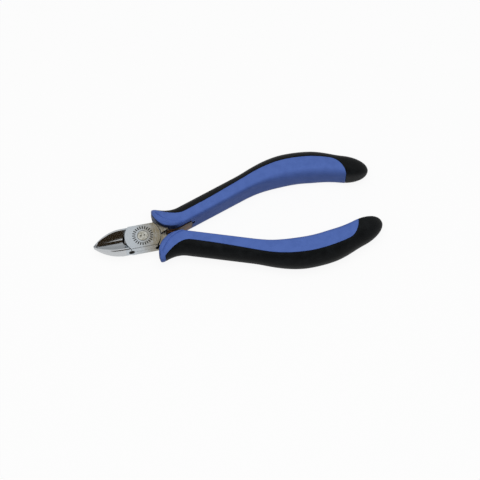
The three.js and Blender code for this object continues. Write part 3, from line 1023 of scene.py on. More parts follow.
@dataclass(frozen=True)
class Tang:
    """Steel of a lever inside its grip."""

    spine: Spine = Spine()
    plate_radius: float = 9.3
    root_width: float = 6.2
    width: float = 4.2
    end_width: float = 3.2
    thickness: float = 5.6
    end_thickness: float = 4.4
    root: Pair = (4.0, 24.0)
    run_start: float = 26.0
    length: float = 88.0
    squareness: float = 9.0
    points: int = 48
    root_rows: int = 24
    run_rows: int = 40

    def section(
        self, station: np.ndarray, turn: np.ndarray, grow: float
    ) -> tuple[np.ndarray, np.ndarray]:
        """Outline of the tang.

        Args:
            station: Way along the spine.
            turn: Directions about the spine.
            grow: Clearance around the steel.

        Returns:
            Offsets and heights.
        """
        taper = smoothstep(station, self.plate_radius, 2 * self.plate_radius)
        thin = smoothstep(station, 2 * self.plate_radius, self.length)
        width = lerp(lerp(self.root_width, self.width, taper), self.end_width, thin) / 2 + grow
        height = lerp(self.thickness, self.end_thickness, thin) / 2 + grow
        across, up = round_square(turn, self.squareness)
        return width * across, height * up

    def skin(self) -> Skin:
        """Surface of the upper handle's tang.

        Returns:
            The skin.
        """
        root = np.linspace(*self.root, self.root_rows)
        run = np.linspace(self.run_start, self.length, self.run_rows)
        station = np.concatenate((root, run))[:, None]
        return loft(self.spine.at(station, *self.section(station, directions(self.points), 0.0)))


@dataclass(frozen=True)
class Handle:
    """One handle: hard shell with its guard collar, soft pad and leaf spring.

    It is drawn as the upper handle. The lower one is the same after half a turn about X.
    Sizes named as shares of the neck are multiples of the spine's neck length.
    """

    side: Side
    spine: Spine = Spine()
    tang: Tang = Tang()
    tang_fit: float = 0.15
    bore_stations: tuple[float, ...] = (82.0, 76.0, 70.0, 63.5, 45.0, 30.0, 22.0)
    neck_half: float = 5.2
    palm_half: float = 7.3
    tail_half: float = 6.0
    neck_thickness: float = 13.6
    palm_thickness: float = 16.4
    tail_thickness: float = 14.8
    swell_neck_shares: Pair = (0.9, 1.33)
    ease_neck_share: float = 1.5
    flats: float = 15.8
    flats_ease: float = 0.25
    end_round: float = 14.0
    end_cut: float = 0.22
    crease: float = 6.0
    crease_fade: float = 3.2
    roundness: float = 2.2
    fullness: float = 0.44
    crown_shift: float = 0.3
    collar_radius: float = 11.5
    collar_clearance: float = 1.1
    collar_reach: float = 14.2
    collar_length: float = 14.0
    collar_nose: float = 3.2
    collar_nose_back: float = 0.8
    collar_nose_drop: float = 4.2
    bevel: float = 1.8
    rim_round: float = 0.8
    lip_width: float = 2.0
    lip_proud: float = 0.3
    lip_start: Pair = (0.1, 1.3)
    lip_fade_shares: Pair = (0.55, 0.75)
    lip_valley: float = 0.3
    valley_width: float = 0.35
    valley_rows: tuple[float, ...] = (0.05, 0.2, 0.4, 0.6, 0.8, 1.1)
    pad_start: float = 3.2
    pad_step_rows: tuple[float, ...] = (0.0, 0.05, 0.5)
    pad_thickness: float = 1.8
    pad_end: float = 5.0
    seam_neck: float = 0.2
    seam_palm: float = 2.5
    seam_palm_neck_share: float = 1.4
    seam_rise: float = 10.3
    seam_front: float = 3.0
    seam_lead: float = 25.0
    seam_turn_at: float = 106.0
    seam_end: float = 117.5
    seam_least_turn: float = 0.05
    seam_round: float = 0.22
    seam_gap: float = 0.2
    approach_end: float = 34.0
    leaf_thickness: float = 0.6
    leaf_width: float = 6.5
    leaf_seat: float = 0.1
    leaf_hook_at: float = 25.6
    leaf_bend: float = 3.0
    leaf_front: float = 12.0
    leaf_front_share: float = 0.6
    leaf_gap: float = 0.3
    leaf_corner: float = 1.6
    leaf_corner_share: float = 0.9
    leaf_edge: float = 0.18
    leaf_fit: float = 0.15
    hook_width: float = 0.7
    hook_thickness: float = 0.3
    hook_length: float = 1.6
    hook_hole: float = 1.0
    hook_hole_shift: float = 1.2
    shell_points: int = 108
    under_points: int = 26
    pad_points: int = 72
    face_rows: int = 4
    rim_rows: int = 8
    lip_rows: int = 8
    approach_rows: int = 21
    pad_lead_rows: int = 25
    palm_rows: int = 79
    turn_rows: int = 17
    tongue_rows: int = 13
    end_rows: int = 25
    leaf_seat_rows: int = 9
    leaf_bend_rows: int = 13
    leaf_front_rows: int = 5
    leaf_corner_rows: int = 8
    leaf_edge_points: int = 4
    hole_points: int = 40

    @property
    def collar_offset(self) -> float:
        """Offset of the middle of the collar's round front."""
        return self.collar_radius - self.neck_half

    @property
    def collar_station(self) -> float:
        """Station of the middle of the collar's round front."""
        distance = self.tang.plate_radius + self.collar_clearance + self.collar_radius
        return math.sqrt(distance ** 2 - self.collar_offset ** 2)

    @property
    def front(self) -> float:
        """Foremost station of the collar."""
        return self.collar_station - self.collar_radius

    @property
    def hook_station(self) -> float:
        """Station of the middle of the hook's hole."""
        return self.leaf_hook_at + self.hook_hole_shift

    @property
    def leaf_offset(self) -> float:
        """Offset of the middle of the leaf spring in its seat."""
        return -(self.neck_half - self.leaf_seat + self.leaf_thickness / 2)

    @property
    def round_start(self) -> float:
        """Station where the rear end starts to close."""
        return self.spine.length - self.end_round

    def sides(self, station: np.ndarray) -> tuple[np.ndarray, np.ndarray, np.ndarray, np.ndarray]:
        """Sizes of the section.

        Args:
            station: Way along the spine.

        Returns:
            Inner and outer reach, half the thickness, and the sharpness of the inner crease.
        """
        neck = self.spine.neck_length
        swell_from, swell_to = self.swell_neck_shares
        swell = smoothstep(station, swell_from * neck, swell_to * neck)
        ease = smoothstep(station, self.ease_neck_share * neck, self.round_start)
        inner = lerp(lerp(self.neck_half, self.palm_half, swell), self.tail_half, ease)
        thick = lerp(self.neck_thickness, self.palm_thickness, swell)
        thick = lerp(thick, self.tail_thickness, ease)
        back = station - self.front
        flare = np.maximum(1 - back / self.collar_length, 0) ** 2
        nose = np.clip(1 - (back - self.collar_nose_back) / self.collar_nose, 0, 1)
        outer = inner + self.fullness + flare * (self.collar_reach - self.neck_half)
        outer = outer - self.collar_nose_drop * (1 - np.sqrt(1 - nose ** 2))
        return inner, outer, thick / 2, lerp(self.crease, self.crease_fade, swell)

    def section(
        self, station: np.ndarray, turn: np.ndarray, inset: Values, share: Values = 1.0
    ) -> tuple[np.ndarray, np.ndarray]:
        """Outline of the grip; a turn of 0 points outward.

        Args:
            station: Way along the spine.
            turn: Directions about the section's crown.
            inset: Depth below the surface.
            share: Scale of the section, less than 1 in the closing rear end.

        Returns:
            Offsets and heights.
        """
        inner, outer, half, sharp = self.sides(station)
        crown = -self.crown_shift * inner * share
        outward = np.cos(turn) > 0
        across, up = round_square(turn, np.where(outward, self.roundness, sharp))
        reach = np.where(outward, share * outer - crown, share * inner + crown)
        height = (share * half - inset) * up
        size, limit, ease = np.abs(height), self.flats / 2, self.flats_ease
        eased = np.minimum(size, limit) - np.maximum(ease - np.abs(size - limit), 0) ** 2 / (4 * ease)
        return crown + (reach - inset) * across, np.sign(height) * eased

    def points(
        self, station: np.ndarray, turn: np.ndarray, inset: Values, share: Values = 1.0
    ) -> np.ndarray:
        """Points on the outline of the grip, with the same values as section takes."""
        return self.spine.at(station, *self.section(station, turn, inset, share))

    def seam(self, station: np.ndarray, share: Values) -> np.ndarray:
        """Turn at which shell and pad meet; at half a turn the pad closes around the shell.

        Args:
            station: Way along the spine.
            share: Scale of the section.

        Returns:
            The turns.
        """
        inner, outer, _, sharp = self.sides(station)
        crown = -self.crown_shift * inner * share
        rise_length = self.seam_lead - self.front - self.seam_front
        lead = np.maximum(self.seam_lead - station, 0) / rise_length
        palm_at = self.seam_palm_neck_share * self.spine.neck_length
        palm = smoothstep(station, self.seam_lead, palm_at)
        rear = np.clip((station - self.seam_turn_at) / (self.seam_end - self.seam_turn_at), 0, 1)
        drop = self.seam_palm + 2 * self.palm_half
        offset = lerp(self.seam_neck, self.seam_palm, palm) + self.seam_rise * lead ** 2
        offset = offset - drop * (1 - np.sqrt(1 - rear ** 2))
        outward = offset > crown
        reach = np.where(outward, share * outer - crown, share * inner + crown)
        ratio = np.clip((offset - crown) / np.maximum(reach, WELD), -1, 1)
        power = np.where(outward, self.roundness, sharp)
        up = np.maximum(1 - np.abs(ratio) ** power, 0) ** (1 / power)
        return np.maximum(np.arctan2(up, ratio), self.seam_least_turn)

    def front_station(self, offset: np.ndarray, height: np.ndarray) -> np.ndarray:
        """Station of the collar's round, bevelled front.

        Args:
            offset: Way outward from the spine.
            height: Way to the front of the tool.

        Returns:
            The stations.
        """
        slope = np.maximum(np.abs(height) - (self.neck_thickness / 2 - self.bevel), 0)
        across = np.clip(offset - self.collar_offset, -self.collar_radius, self.collar_radius)
        return self.collar_station + slope - np.sqrt(self.collar_radius ** 2 - across ** 2)

    def arc_rate(self, station: np.ndarray, turn: np.ndarray, share: Values) -> np.ndarray:
        """Millimetres of outline for a radian of turn.

        Args:
            station: Way along the spine.
            turn: Direction on the outline.
            share: Scale of the section.

        Returns:
            The rates.
        """
        step = 0.02
        low = self.section(station, turn - step, 0.0, share)
        high = self.section(station, turn + step, 0.0, share)
        return np.hypot(high[0] - low[0], high[1] - low[1]) / (2 * step)

    def columns(
        self, middle: float, half: np.ndarray, rate: np.ndarray, count: int
    ) -> tuple[np.ndarray, np.ndarray]:
        """Turns of columns across a strip with rounded edges.

        Args:
            middle: Turn in the middle of the strip.
            half: Half of the strip's width as a turn, for each row.
            rate: Millimetres for a radian at its edges.
            count: Number of columns from one rounded edge's inner end to the other's.

        Returns:
            Turns and depths of the columns.
        """
        fit = np.minimum(1.0, EDGE_SHARE * half * rate / self.seam_round)
        ways = (self.seam_round * EDGE_WAYS)[None, :] * fit[:, None]
        drop = corner_drop(ways, np.maximum(self.seam_round * fit, WELD)[:, None])
        left = -half[:, None] + ways / np.maximum(rate, WELD)[:, None]
        inner = left[:, -1:] * np.linspace(1, -1, count)[None, 1:-1]
        turn = np.concatenate((left, inner, -left[:, ::-1]), axis=1)
        depth = np.concatenate((drop, np.zeros_like(inner), drop[:, ::-1]), axis=1)
        return middle + turn, depth

    def shell_columns(
        self, station: np.ndarray, share: np.ndarray
    ) -> tuple[np.ndarray, np.ndarray]:
        """Columns of the shell in one row for each station: a strip between parts under the pad.

        Args:
            station: Stations of the rows.
            share: Scale of the section in each row.

        Returns:
            Turns, and depths of the visible strip's edges.
        """
        seam = self.seam(station, share)
        rate = self.arc_rate(station, seam, share)
        gap = self.seam_gap / np.maximum(rate, 1.0)
        half = np.maximum(math.pi - seam - gap, 0.0)
        turn, depth = self.columns(math.pi, half, rate, self.shell_points)
        under = np.minimum(seam, math.pi)[:, None] * np.linspace(0, 1, self.under_points)[None, :]
        turns = np.concatenate((under, turn, 2 * math.pi - under[:, :0:-1]), axis=1)
        depths = np.concatenate((0 * under, depth, 0 * under[:, 1:]), axis=1)
        return turns, depths

    def pad_columns(self, station: np.ndarray, share: np.ndarray) -> tuple[np.ndarray, np.ndarray]:
        """Turns and edge depths of the pad's columns in one row for each station."""
        seam = self.seam(station, share)
        return self.columns(0.0, seam, self.arc_rate(station, seam, share), self.pad_points)

    @staticmethod
    def own(columns: Columns, station: np.ndarray) -> tuple[np.ndarray, np.ndarray]:
        """Turns and depths of columns where each point has a station of its own.

        Args:
            columns: Gives the columns of whole rows.
            station: Stations, row by row.

        Returns:
            Turns and depths, shaped as the stations are.
        """
        flat = station.ravel()
        cell = np.arange(flat.size)
        turn, depth = columns(flat, np.ones_like(flat))
        column = cell % station.shape[1]
        return turn[cell, column].reshape(station.shape), depth[cell, column].reshape(station.shape)

    def guide(self, columns: Columns) -> np.ndarray:
        """Turns of the columns in the last row of the collar's approach."""
        return columns(np.array([self.approach_end]), np.ones(1))[0]

    def behind_front(self, columns: Columns, back: np.ndarray, inset: np.ndarray) -> np.ndarray:
        """Stations of rows that run along the collar's front.

        Args:
            columns: Gives the columns of whole rows.
            back: Way of each row behind the front.
            inset: Depth of each row, or of each point, below the surface.

        Returns:
            Array of stations, a row for each way back.
        """
        station = np.full((len(back), self.guide(columns).shape[1]), self.collar_station)
        for _ in range(SETTLE_STEPS):
            offset, height = self.section(station, self.own(columns, station)[0], inset)
            target = self.front_station(offset, height) + back[:, None]
            station = lerp(station, target, SETTLE_SHARE)
        return station

    def end_stations(self, turn: Values, end_inset: float) -> np.ndarray:
        """Stations of rows in the rear end, whose end lies below the surface by an inset."""
        return self.round_start + (self.end_round - self.end_cut - end_inset) * np.sin(turn)

    def tongue_tip(self) -> float:
        """Place in the closing rear end where the shell's tongue ends, found by halving.

        Returns:
            Its turn from the last full section.
        """
        low, high = 0.0, math.pi / 2
        for _ in range(TIP_HALVINGS):
            turn = (low + high) / 2
            closed = self.seam(self.end_stations(turn, 0.0), math.cos(turn)) > CLOSED_TURN
            low, high = (low, turn) if closed else (turn, high)
        return high

    def rear_rows(self, end_inset: float) -> tuple[np.ndarray, np.ndarray, np.ndarray]:
        """Rows between the collar and the end of the handle, with one at the tongue's tip.

        Args:
            end_inset: Depth of the end of the rows below the surface.

        Returns:
            Stations on the surface and below it, and the scale of the section in each row.
        """
        tip = self.tongue_tip()
        tongue = after(0, tip, self.tongue_rows)
        rear = np.concatenate((tongue, after(tip, math.pi / 2, self.end_rows)))
        palm = after(self.approach_end, self.seam_turn_at, self.palm_rows)
        middle = np.concatenate((palm, after(self.seam_turn_at, self.round_start, self.turn_rows)))
        outer = np.concatenate((middle, self.end_stations(rear, 0.0)))
        deeper = np.concatenate((middle, self.end_stations(rear, end_inset)))
        return outer, deeper, np.concatenate((np.ones(len(middle)), np.cos(rear)))

    def collar_rows(self) -> tuple[np.ndarray, np.ndarray]:
        """Rows of the shell from the collar's rim over its lip to the pad's front edge.

        Returns:
            Ways of the rows behind the front, and their depths on the rounded rim.
        """
        rim_back, rim_inset = rounding(self.rim_round, self.rim_rows).T
        lip_back = after(self.rim_round, self.lip_width, self.lip_rows)
        valley_back = self.lip_width + np.array(self.valley_rows)
        step_back = self.pad_start + np.array(self.pad_step_rows)
        back = np.concatenate((rim_back, lip_back, valley_back, step_back))
        inset = np.zeros_like(back)
        inset[:len(rim_inset)] = rim_inset
        return back, inset

    def lip_depth(self, back: np.ndarray, offset: np.ndarray) -> np.ndarray:
        """Depth of the valley behind the lip, negative on the lip's bead.

        Args:
            back: Way of each row behind the front.
            offset: Way outward of each point; the lip fades at both ends of the collar.

        Returns:
            The depths.
        """
        bead = np.sin(math.pi * np.clip(back / self.lip_width, 0, 1)) ** 2
        valley = np.exp(-((back - self.lip_width - self.valley_width) / self.valley_width) ** 2)
        profile = self.lip_valley * valley - self.lip_proud * bead
        first, full = self.lip_start
        fade, gone = self.lip_fade_shares
        raised = smoothstep(offset, first - self.neck_half, full - self.neck_half)
        raised = raised * (1 - smoothstep(offset, fade * self.collar_reach, gone * self.collar_reach))
        return profile[:, None] * raised

    def shell_skin(self) -> Skin:
        """Surface of the hard shell: bore, round front, lip, grip and rear end.

        Returns:
            The skin.
        """
        columns = self.shell_columns
        under_depth = self.pad_thickness + self.seam_gap
        back, inset = self.collar_rows()
        first = self.behind_front(columns, back, inset[:, None])
        hidden = np.ones(first.shape[1], bool)
        hidden[self.under_points:1 - self.under_points] = False
        offset, _ = self.section(first, self.own(columns, first)[0], 0.0)
        depth = inset[:, None] + self.lip_depth(back, offset)
        behind = back[:, None] > self.pad_start + WELD
        depth = np.where(behind & hidden, under_depth, depth)
        station = self.behind_front(columns, back, depth)
        rows = [self.points(station, self.own(columns, station)[0], depth)]

        station = lerp(station[-1:], self.approach_end, after(0, 1, self.approach_rows)[:, None])
        depth = np.where(hidden, under_depth, 0.0) + 0 * station
        rows.append(self.points(station, self.own(columns, station)[0], depth))

        outer, deeper, scale = self.rear_rows(self.pad_end + self.seam_gap)
        turn, edge = columns(outer, scale)
        closed = self.seam(outer, scale) + self.seam_gap / 4 > math.pi
        below = hidden | closed[:, None]
        station = np.where(below, deeper[:, None], outer[:, None])
        depth = np.where(below, under_depth * scale[:, None], edge)
        rows.append(self.points(station, turn, depth, scale[:, None]))
        return loft(np.concatenate(self.bore_rows(first[:1]) + rows))

    def bore_rows(self, rim: np.ndarray) -> list[np.ndarray]:
        """Rows from the end of the tang's bore to the rim of the collar's front.

        Args:
            rim: Stations of the first row of the rim.

        Returns:
            Rows of points, the end of the bore first.
        """
        guide = self.guide(self.shell_columns)
        mouth = np.full_like(guide, self.front + MOUTH_GUESS)
        for _ in range(MOUTH_STEPS):
            mouth = self.front_station(*self.tang.section(mouth, guide, self.tang_fit))
        hole = self.tang.section(mouth, guide, self.tang_fit)
        edge = self.section(rim, self.own(self.shell_columns, rim)[0], self.rim_round)
        face = []
        for share in before(0, 1, self.face_rows):
            offset, height = lerp(hole[0], edge[0], share), lerp(hole[1], edge[1], share)
            face.append(self.spine.at(self.front_station(offset, height), offset, height))
        inside = []
        for place in (self.tang.length + self.tang_fit, *self.bore_stations):
            level = np.full_like(guide, place)
            inside.append(self.spine.at(level, *self.tang.section(level, guide, self.tang_fit)))
        return inside + face

    def pad_skin(self) -> Skin:
        """Surface of the soft pad: an outer and an inner sheet joined at the seam.

        Returns:
            The skin.
        """
        columns = self.pad_columns
        ways = self.seam_round * EDGE_WAYS
        back = self.pad_start + self.seam_gap + ways
        lead = self.behind_front(columns, back, np.zeros((len(back), 1)))
        share = after(0, 1, self.pad_lead_rows)[:, None]
        lead = np.concatenate((lead, lerp(lead[-1:], self.approach_end, share)))
        lead_turn, lead_edge = self.own(columns, lead)
        front_drop = np.zeros((len(lead), 1))
        front_drop[:len(ways), 0] = corner_drop(ways, self.seam_round)
        outer, deeper, scale = self.rear_rows(self.pad_end)
        turn, edge = columns(outer, scale)
        closed = outer >= self.end_stations(self.tongue_tip(), 0.0) - WELD
        edge = np.where(closed[:, None], 0.0, edge)
        outer, deeper, scale = outer[:, None], deeper[:, None], scale[:, None]
        below = self.pad_thickness
        outside = np.concatenate((
            self.points(lead, lead_turn, np.maximum(lead_edge, front_drop)),
            self.points(outer, turn, edge, scale),
        ))
        inside = np.concatenate((
            self.points(lead, lead_turn, below),
            self.points(deeper, turn, below * scale, scale),
        ))
        rows, count = outside.shape[:2]
        total = rows * count
        faces = sheet_faces(rows, count) + sheet_faces(rows, count, total)
        faces += [(k, k + 1, total + k + 1, total + k) for k in range(count - 1)]
        last_open = len(lead) + int(np.argmax(closed))
        for column in (0, count - 1):
            for row in range(last_open):
                a, b = row * count + column, (row + 1) * count + column
                faces.append((a, b, total + b, total + a))
        return Skin(np.concatenate((outside.reshape(-1, 3), inside.reshape(-1, 3))), faces)

    def leaf_line(self) -> np.ndarray:
        """Middle line of the leaf spring from its hook to its front end.

        Returns:
            Pairs of x and y.
        """
        level = (self.leaf_gap + self.leaf_thickness) / 2
        angle, ease = self.spine.neck_angle, self.leaf_bend
        rear = self.spine.at(self.leaf_hook_at, self.leaf_offset, 0.0)[:2]
        bend = (level - rear[1]) / math.tan(angle) + rear[0]
        start = np.array((bend + ease * math.cos(angle), level + ease * math.sin(angle)))
        corner, end = np.array((bend, level)), np.array((bend - ease, level))
        share = np.linspace(0, 1, self.leaf_bend_rows)[:, None]
        curve = (1 - share) ** 2 * start + 2 * share * (1 - share) * corner + share ** 2 * end
        seat = lerp(rear, start, before(0, 1, self.leaf_seat_rows)[:, None])
        tip = np.array((self.leaf_front, level))
        ahead = lerp(end, tip, after(0, self.leaf_front_share, self.leaf_front_rows)[:, None])
        closing = 1 - np.cos(quarter(self.leaf_corner_rows))
        corner_share = self.leaf_corner / np.linalg.norm(end - tip)
        last = tip + (end - tip) * corner_share * closing[::-1, None]
        return np.concatenate((seat, curve, ahead, last))

    def leaf_skin(self, grow: float) -> Skin:
        """Strip of the leaf spring with rounded edges and front corners.

        Args:
            grow: Clearance around it, for its seat in the shell.

        Returns:
            The skin.
        """
        line = self.leaf_line()
        run = tangents(line)
        across = np.stack((-run[:, 1], run[:, 0]), axis=-1)
        ahead = np.clip(line[:, 0] - self.leaf_front, 0, self.leaf_corner)
        drop = corner_drop(ahead, self.leaf_corner) * self.leaf_corner_share
        half = self.leaf_width / 2 + grow - drop
        thick = self.leaf_thickness / 2 + grow
        edge = self.leaf_edge
        turn = quarter(self.leaf_edge_points)
        rings = []
        for k, point in enumerate(line):
            ring = []
            for corner in range(4):
                up = 1 if corner in (0, 3) else -1
                out = 1 if corner in (0, 1) else -1
                for angle in (turn if corner % 2 == 0 else turn[::-1]):
                    side = up * (thick - edge + edge * math.cos(angle))
                    height = out * (half[k] - edge + edge * math.sin(angle))
                    x, y = point + across[k] * side
                    ring.append((x, y, height))
            rings.append(ring)
        return loft(np.array(rings))

    def hook_skin(self) -> Skin:
        """Bent end of the leaf spring, which enters the hole in the shell.

        Returns:
            The skin.
        """
        half = self.leaf_thickness / 2 - self.leaf_edge / 2
        low, bend = self.leaf_offset - half, self.leaf_offset + half
        high = bend + self.hook_length
        start = self.leaf_hook_at + self.hook_thickness
        rear = start + self.hook_thickness
        root = self.leaf_hook_at - self.leaf_thickness
        corners = [(root, low), (rear, low), (rear, high), (start, high), (start, bend), (root, bend)]
        outline = [self.spine.at(station, offset, 0.0)[:2] for station, offset in corners]
        return prism(outline, -self.hook_width / 2, self.hook_width / 2)

    def hook_hole_skin(self) -> Skin:
        """Hole in the shell's inner side behind the leaf spring.

        Returns:
            The skin.
        """
        depth = self.leaf_seat + self.hook_length + self.leaf_fit
        turn = directions(self.hole_points)
        station = self.hook_station + self.hook_hole * np.cos(turn)
        height = self.hook_hole * np.sin(turn)
        rings = [self.spine.at(station, way - self.neck_half, height) for way in (-depth, depth)]
        return loft(np.array(rings))

    def solid(self, skin: Skin) -> Solid:
        """Solid on this side, from a skin of the upper handle."""
        return Solid(skin if self.side is Side.UPPER else skin.flipped())

    def build(self, shell: Finish, pad: Finish, strip: Finish) -> None:
        """Builds and dresses the handle's pieces.

        Args:
            shell: Finish of the hard shell.
            pad: Finish of the soft pad.
            strip: Finish of the leaf spring.
        """
        label = self.side.label
        core = self.solid(self.shell_skin())
        core.worked(self.solid(self.leaf_skin(self.leaf_fit)), Cut.TAKE)
        core.worked(self.solid(self.hook_hole_skin()), Cut.TAKE)
        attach(core.dressed(shell, f"grip_core_{label}", "grip_shell"), self.side.body)
        cover = self.solid(self.pad_skin())
        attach(cover.dressed(pad, f"grip_pad_{label}", "grip_pad"), self.side.body)
        leaf = self.solid(self.leaf_skin(0.0))
        leaf.worked(self.solid(self.hook_skin()), Cut.JOIN)
        piece = leaf.dressed(strip, f"leaf_spring_{label}", "spring_strip")
        line = self.leaf_line()
        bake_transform(piece)


# Head

@dataclass(frozen=True)
class Head:
    """Two levers with their jaws, lap joint and tangs, and the pivot screw."""

    tang: Tang = Tang()
    joint_width: float = 13.0
    joint_thickness: float = 7.6
    plate_chamfer: float = 0.5
    seam_gap: float = 0.2
    lap_gap: float = 0.15
    relief_radius: float = 1.05
    jaw_reach: float = 25.5
    oval_start: float = 11.0
    blank_length: float = 5.0
    tip_width: float = 0.9
    jaw_thickness: float = 7.0
    tip_thickness: float = 1.8
    taper_power: float = 1.7
    flank_round: float = 1.3
    flank_points: int = 9
    hollow: float = 0.3
    edge_land: float = 0.2
    edge_gap: float = 0.1
    edge_bevel: float = 0.7
    shoulder_width: float = 1.2
    shoulder_round: float = 1.6
    tang_slot: float = 0.8
    screw_head: float = 2.7
    screw_head_edge: float = 0.2
    screw_head_depth: float = 1.1
    screw_shank: float = 2.1
    screw_chamfer: float = 0.12
    spanner_hole: float = 0.5
    spanner_depth: float = 0.7
    spanner_offset: float = 0.9
    running_fit: float = 0.08
    tight_fit: float = 0.05
    clip_bore: float = 1.25
    clip_bore_depth: float = 4.1
    tick_count: int = 24
    tick_from: float = 3.75
    tick_to: float = 5.35
    tick_width: float = 0.55
    tick_depth: float = 0.16
    tool_proud: float = 1.0
    chamfer_points: int = 6
    plate_end_points: int = 45
    jaw_face_points: int = 13
    jaw_root_rows: int = 5
    jaw_rows: int = 40
    blank_rows: int = 16
    shoulder_points: int = 10
    relief_points: int = 16
    seam_segments: int = 192
    drill_segments: int = 32

    @property
    def plate_radius(self) -> float:
        """Radius of the round plates."""
        return self.tang.plate_radius

    @property
    def half_width(self) -> float:
        """Half the width of the joint."""
        return self.joint_width / 2

    @property
    def half_joint(self) -> float:
        """Half the thickness of the joint."""
        return self.joint_thickness / 2

    @property
    def seam_radius(self) -> float:
        """Radius of the round wall in which a plate turns."""
        return self.plate_radius + self.seam_gap

    @property
    def relief_height(self) -> float:
        """Height of the middle of the relief groove's section."""
        return self.lap_gap / 2 + self.relief_radius / 2

    def plate_skin(self) -> Skin:
        """Half-thick plate with round ends and a softened upper edge.

        Returns:
            The skin.
        """
        profile = [(0.0, self.lap_gap / 2)]
        corner = rounding(self.plate_chamfer, self.chamfer_points)
        profile += [(inset, self.half_joint - drop) for inset, drop in corner]
        rings = []
        for inset, height in profile:
            radius = self.plate_radius - inset
            reach = math.asin((self.half_width - inset) / radius)
            end = np.linspace(-reach, reach, self.plate_end_points)
            turn = np.concatenate((end, math.pi + end))
            level = np.full_like(turn, height)
            rings.append(np.stack((radius * np.cos(turn), radius * np.sin(turn), level), axis=-1))
        return loft(np.array(rings))

    def jaw_outline(self, distance: float) -> float:
        """Half width of the closed jaws.

        Args:
            distance: Distance from the pivot.

        Returns:
            The half width.
        """
        length = self.jaw_reach - self.oval_start
        drop = self.half_width - self.tip_width / 2
        radius = (length ** 2 + drop ** 2) / (2 * drop)
        past = max(distance - self.oval_start, 0)
        return self.half_width - radius + math.sqrt(radius ** 2 - past ** 2)

    def flank(self, outer: float, half: float, radius: float) -> list[Pair]:
        """Rounded corner of a jaw's section, from its face to its outer side."""
        return [(outer - aside, half - drop) for drop, aside in rounding(radius, self.flank_points)]

    def jaw_section(self, distance: float) -> list[Triple]:
        """Wedge section: bevelled edge, hollow ground face and rounded flank, front and back.

        Args:
            distance: Distance from the pivot.

        Returns:
            Points of the section.
        """
        progress = max(distance - self.oval_start, 0) / (self.jaw_reach - self.oval_start)
        outer = self.jaw_outline(distance)
        edge = self.edge_gap / 2
        half = lerp(self.jaw_thickness, self.tip_thickness, progress ** self.taper_power) / 2
        round_off = min(self.flank_round, (outer - edge) / 2, half / 2)
        rim = outer - round_off
        hollow = self.hollow * (1 - progress)
        bevel = min(self.edge_bevel, (rim - edge) / 4)
        start, end = (edge + bevel, self.edge_land / 2 + bevel), (rim, half)
        face = [(edge, self.edge_land / 2)]
        for share in before(0, 1, self.jaw_face_points):
            sag = 4 * hollow * share * (1 - share)
            face.append((lerp(start[0], end[0], share), lerp(start[1], end[1], share) - sag))
        face += self.flank(outer, half, round_off)
        return [(-distance, y, z) for y, z in face + [(y, -z) for y, z in reversed(face)]]

    def jaw_skin(self) -> Skin:
        """Upper jaw from the joint to its tip.

        Returns:
            The skin.
        """
        oval = self.jaw_reach - self.oval_start
        distances = [*before(self.half_width, self.oval_start, self.jaw_root_rows)]
        distances += [self.oval_start + oval * math.sin(turn) for turn in quarter(self.jaw_rows)]
        return loft(np.array([self.jaw_section(distance) for distance in distances]))

    def blank_skin(self) -> Skin:
        """Jaw before grinding, as thick as the joint and with the same round flank.

        Returns:
            The skin.
        """
        start, half = self.oval_start, self.half_joint
        oval = np.linspace(start, start + self.blank_length, self.blank_rows)
        rings = []
        for distance in [self.half_width, *oval]:
            flank = self.flank(self.jaw_outline(distance), half, self.flank_round)
            flank += [(y, -z) for y, z in reversed(flank)]
            section = [(0.0, half), *flank, (0.0, -half)]
            rings.append([(-distance, y, z) for y, z in section])
        return loft(np.array(rings))

    def shoulder_skin(self, bottom: float, top: float) -> Skin:
        """Root of a jaw that stays thick on the reverse side, with a round inner corner.

        Args:
            bottom: Height of its lower side.
            top: Height of its upper side.

        Returns:
            The skin.
        """
        wall = self.seam_radius + self.shoulder_width
        reach = self.shoulder_round
        rim = self.jaw_outline(wall + reach)
        outline = [(-wall, self.edge_gap / 2)]
        corner = rounding(reach, self.shoulder_points)
        outline += [(-wall - out, rim - drop) for out, drop in corner]
        outline += [(-self.oval_start, self.half_width), (-self.half_width, self.half_width)]
        outline.append((-self.half_width, self.edge_gap / 2))
        return prism(outline, bottom, top)

    def relief_skin(self) -> Skin:
        """Round groove in the corner between the lap face and the seam.

        Returns:
            The skin.
        """
        profile = []
        for turn in np.linspace(0, 2 * math.pi, self.relief_points + 1):
            radius = self.seam_radius + self.relief_radius * math.cos(turn)
            profile.append((radius, self.relief_height + self.relief_radius * math.sin(turn)))
        return lathe(profile, capped=False)

    def tick_skin(self) -> Skin:
        """Ring of short stamped strokes around the pivot.

        Returns:
            The skin.
        """
        stroke = block(
            (self.tick_from, self.tick_to),
            (-self.tick_width / 2, self.tick_width / 2),
            (self.half_joint - self.tick_depth, self.half_joint + self.tool_proud),
        )
        step = 2 * math.pi / self.tick_count
        strokes = stroke.turned(0.5 * step)
        for k in range(1, self.tick_count):
            strokes = strokes.beside(stroke.turned((k + 0.5) * step))
        return strokes

    def lever(self, shoulder: Pair, bore: Skin, flip: bool) -> Solid:
        """Lever with a plate, a jaw and a tang, drawn with its plate in front.

        Args:
            shoulder: Height range of the jaw's thick root.
            bore: Hole for the pivot screw.
            flip: Whether the lever lies with its plate at the back.

        Returns:
            The solid.
        """
        def own(skin: Skin) -> Solid:
            """Solid on this lever's side."""
            return Solid(skin.flipped() if flip else skin)

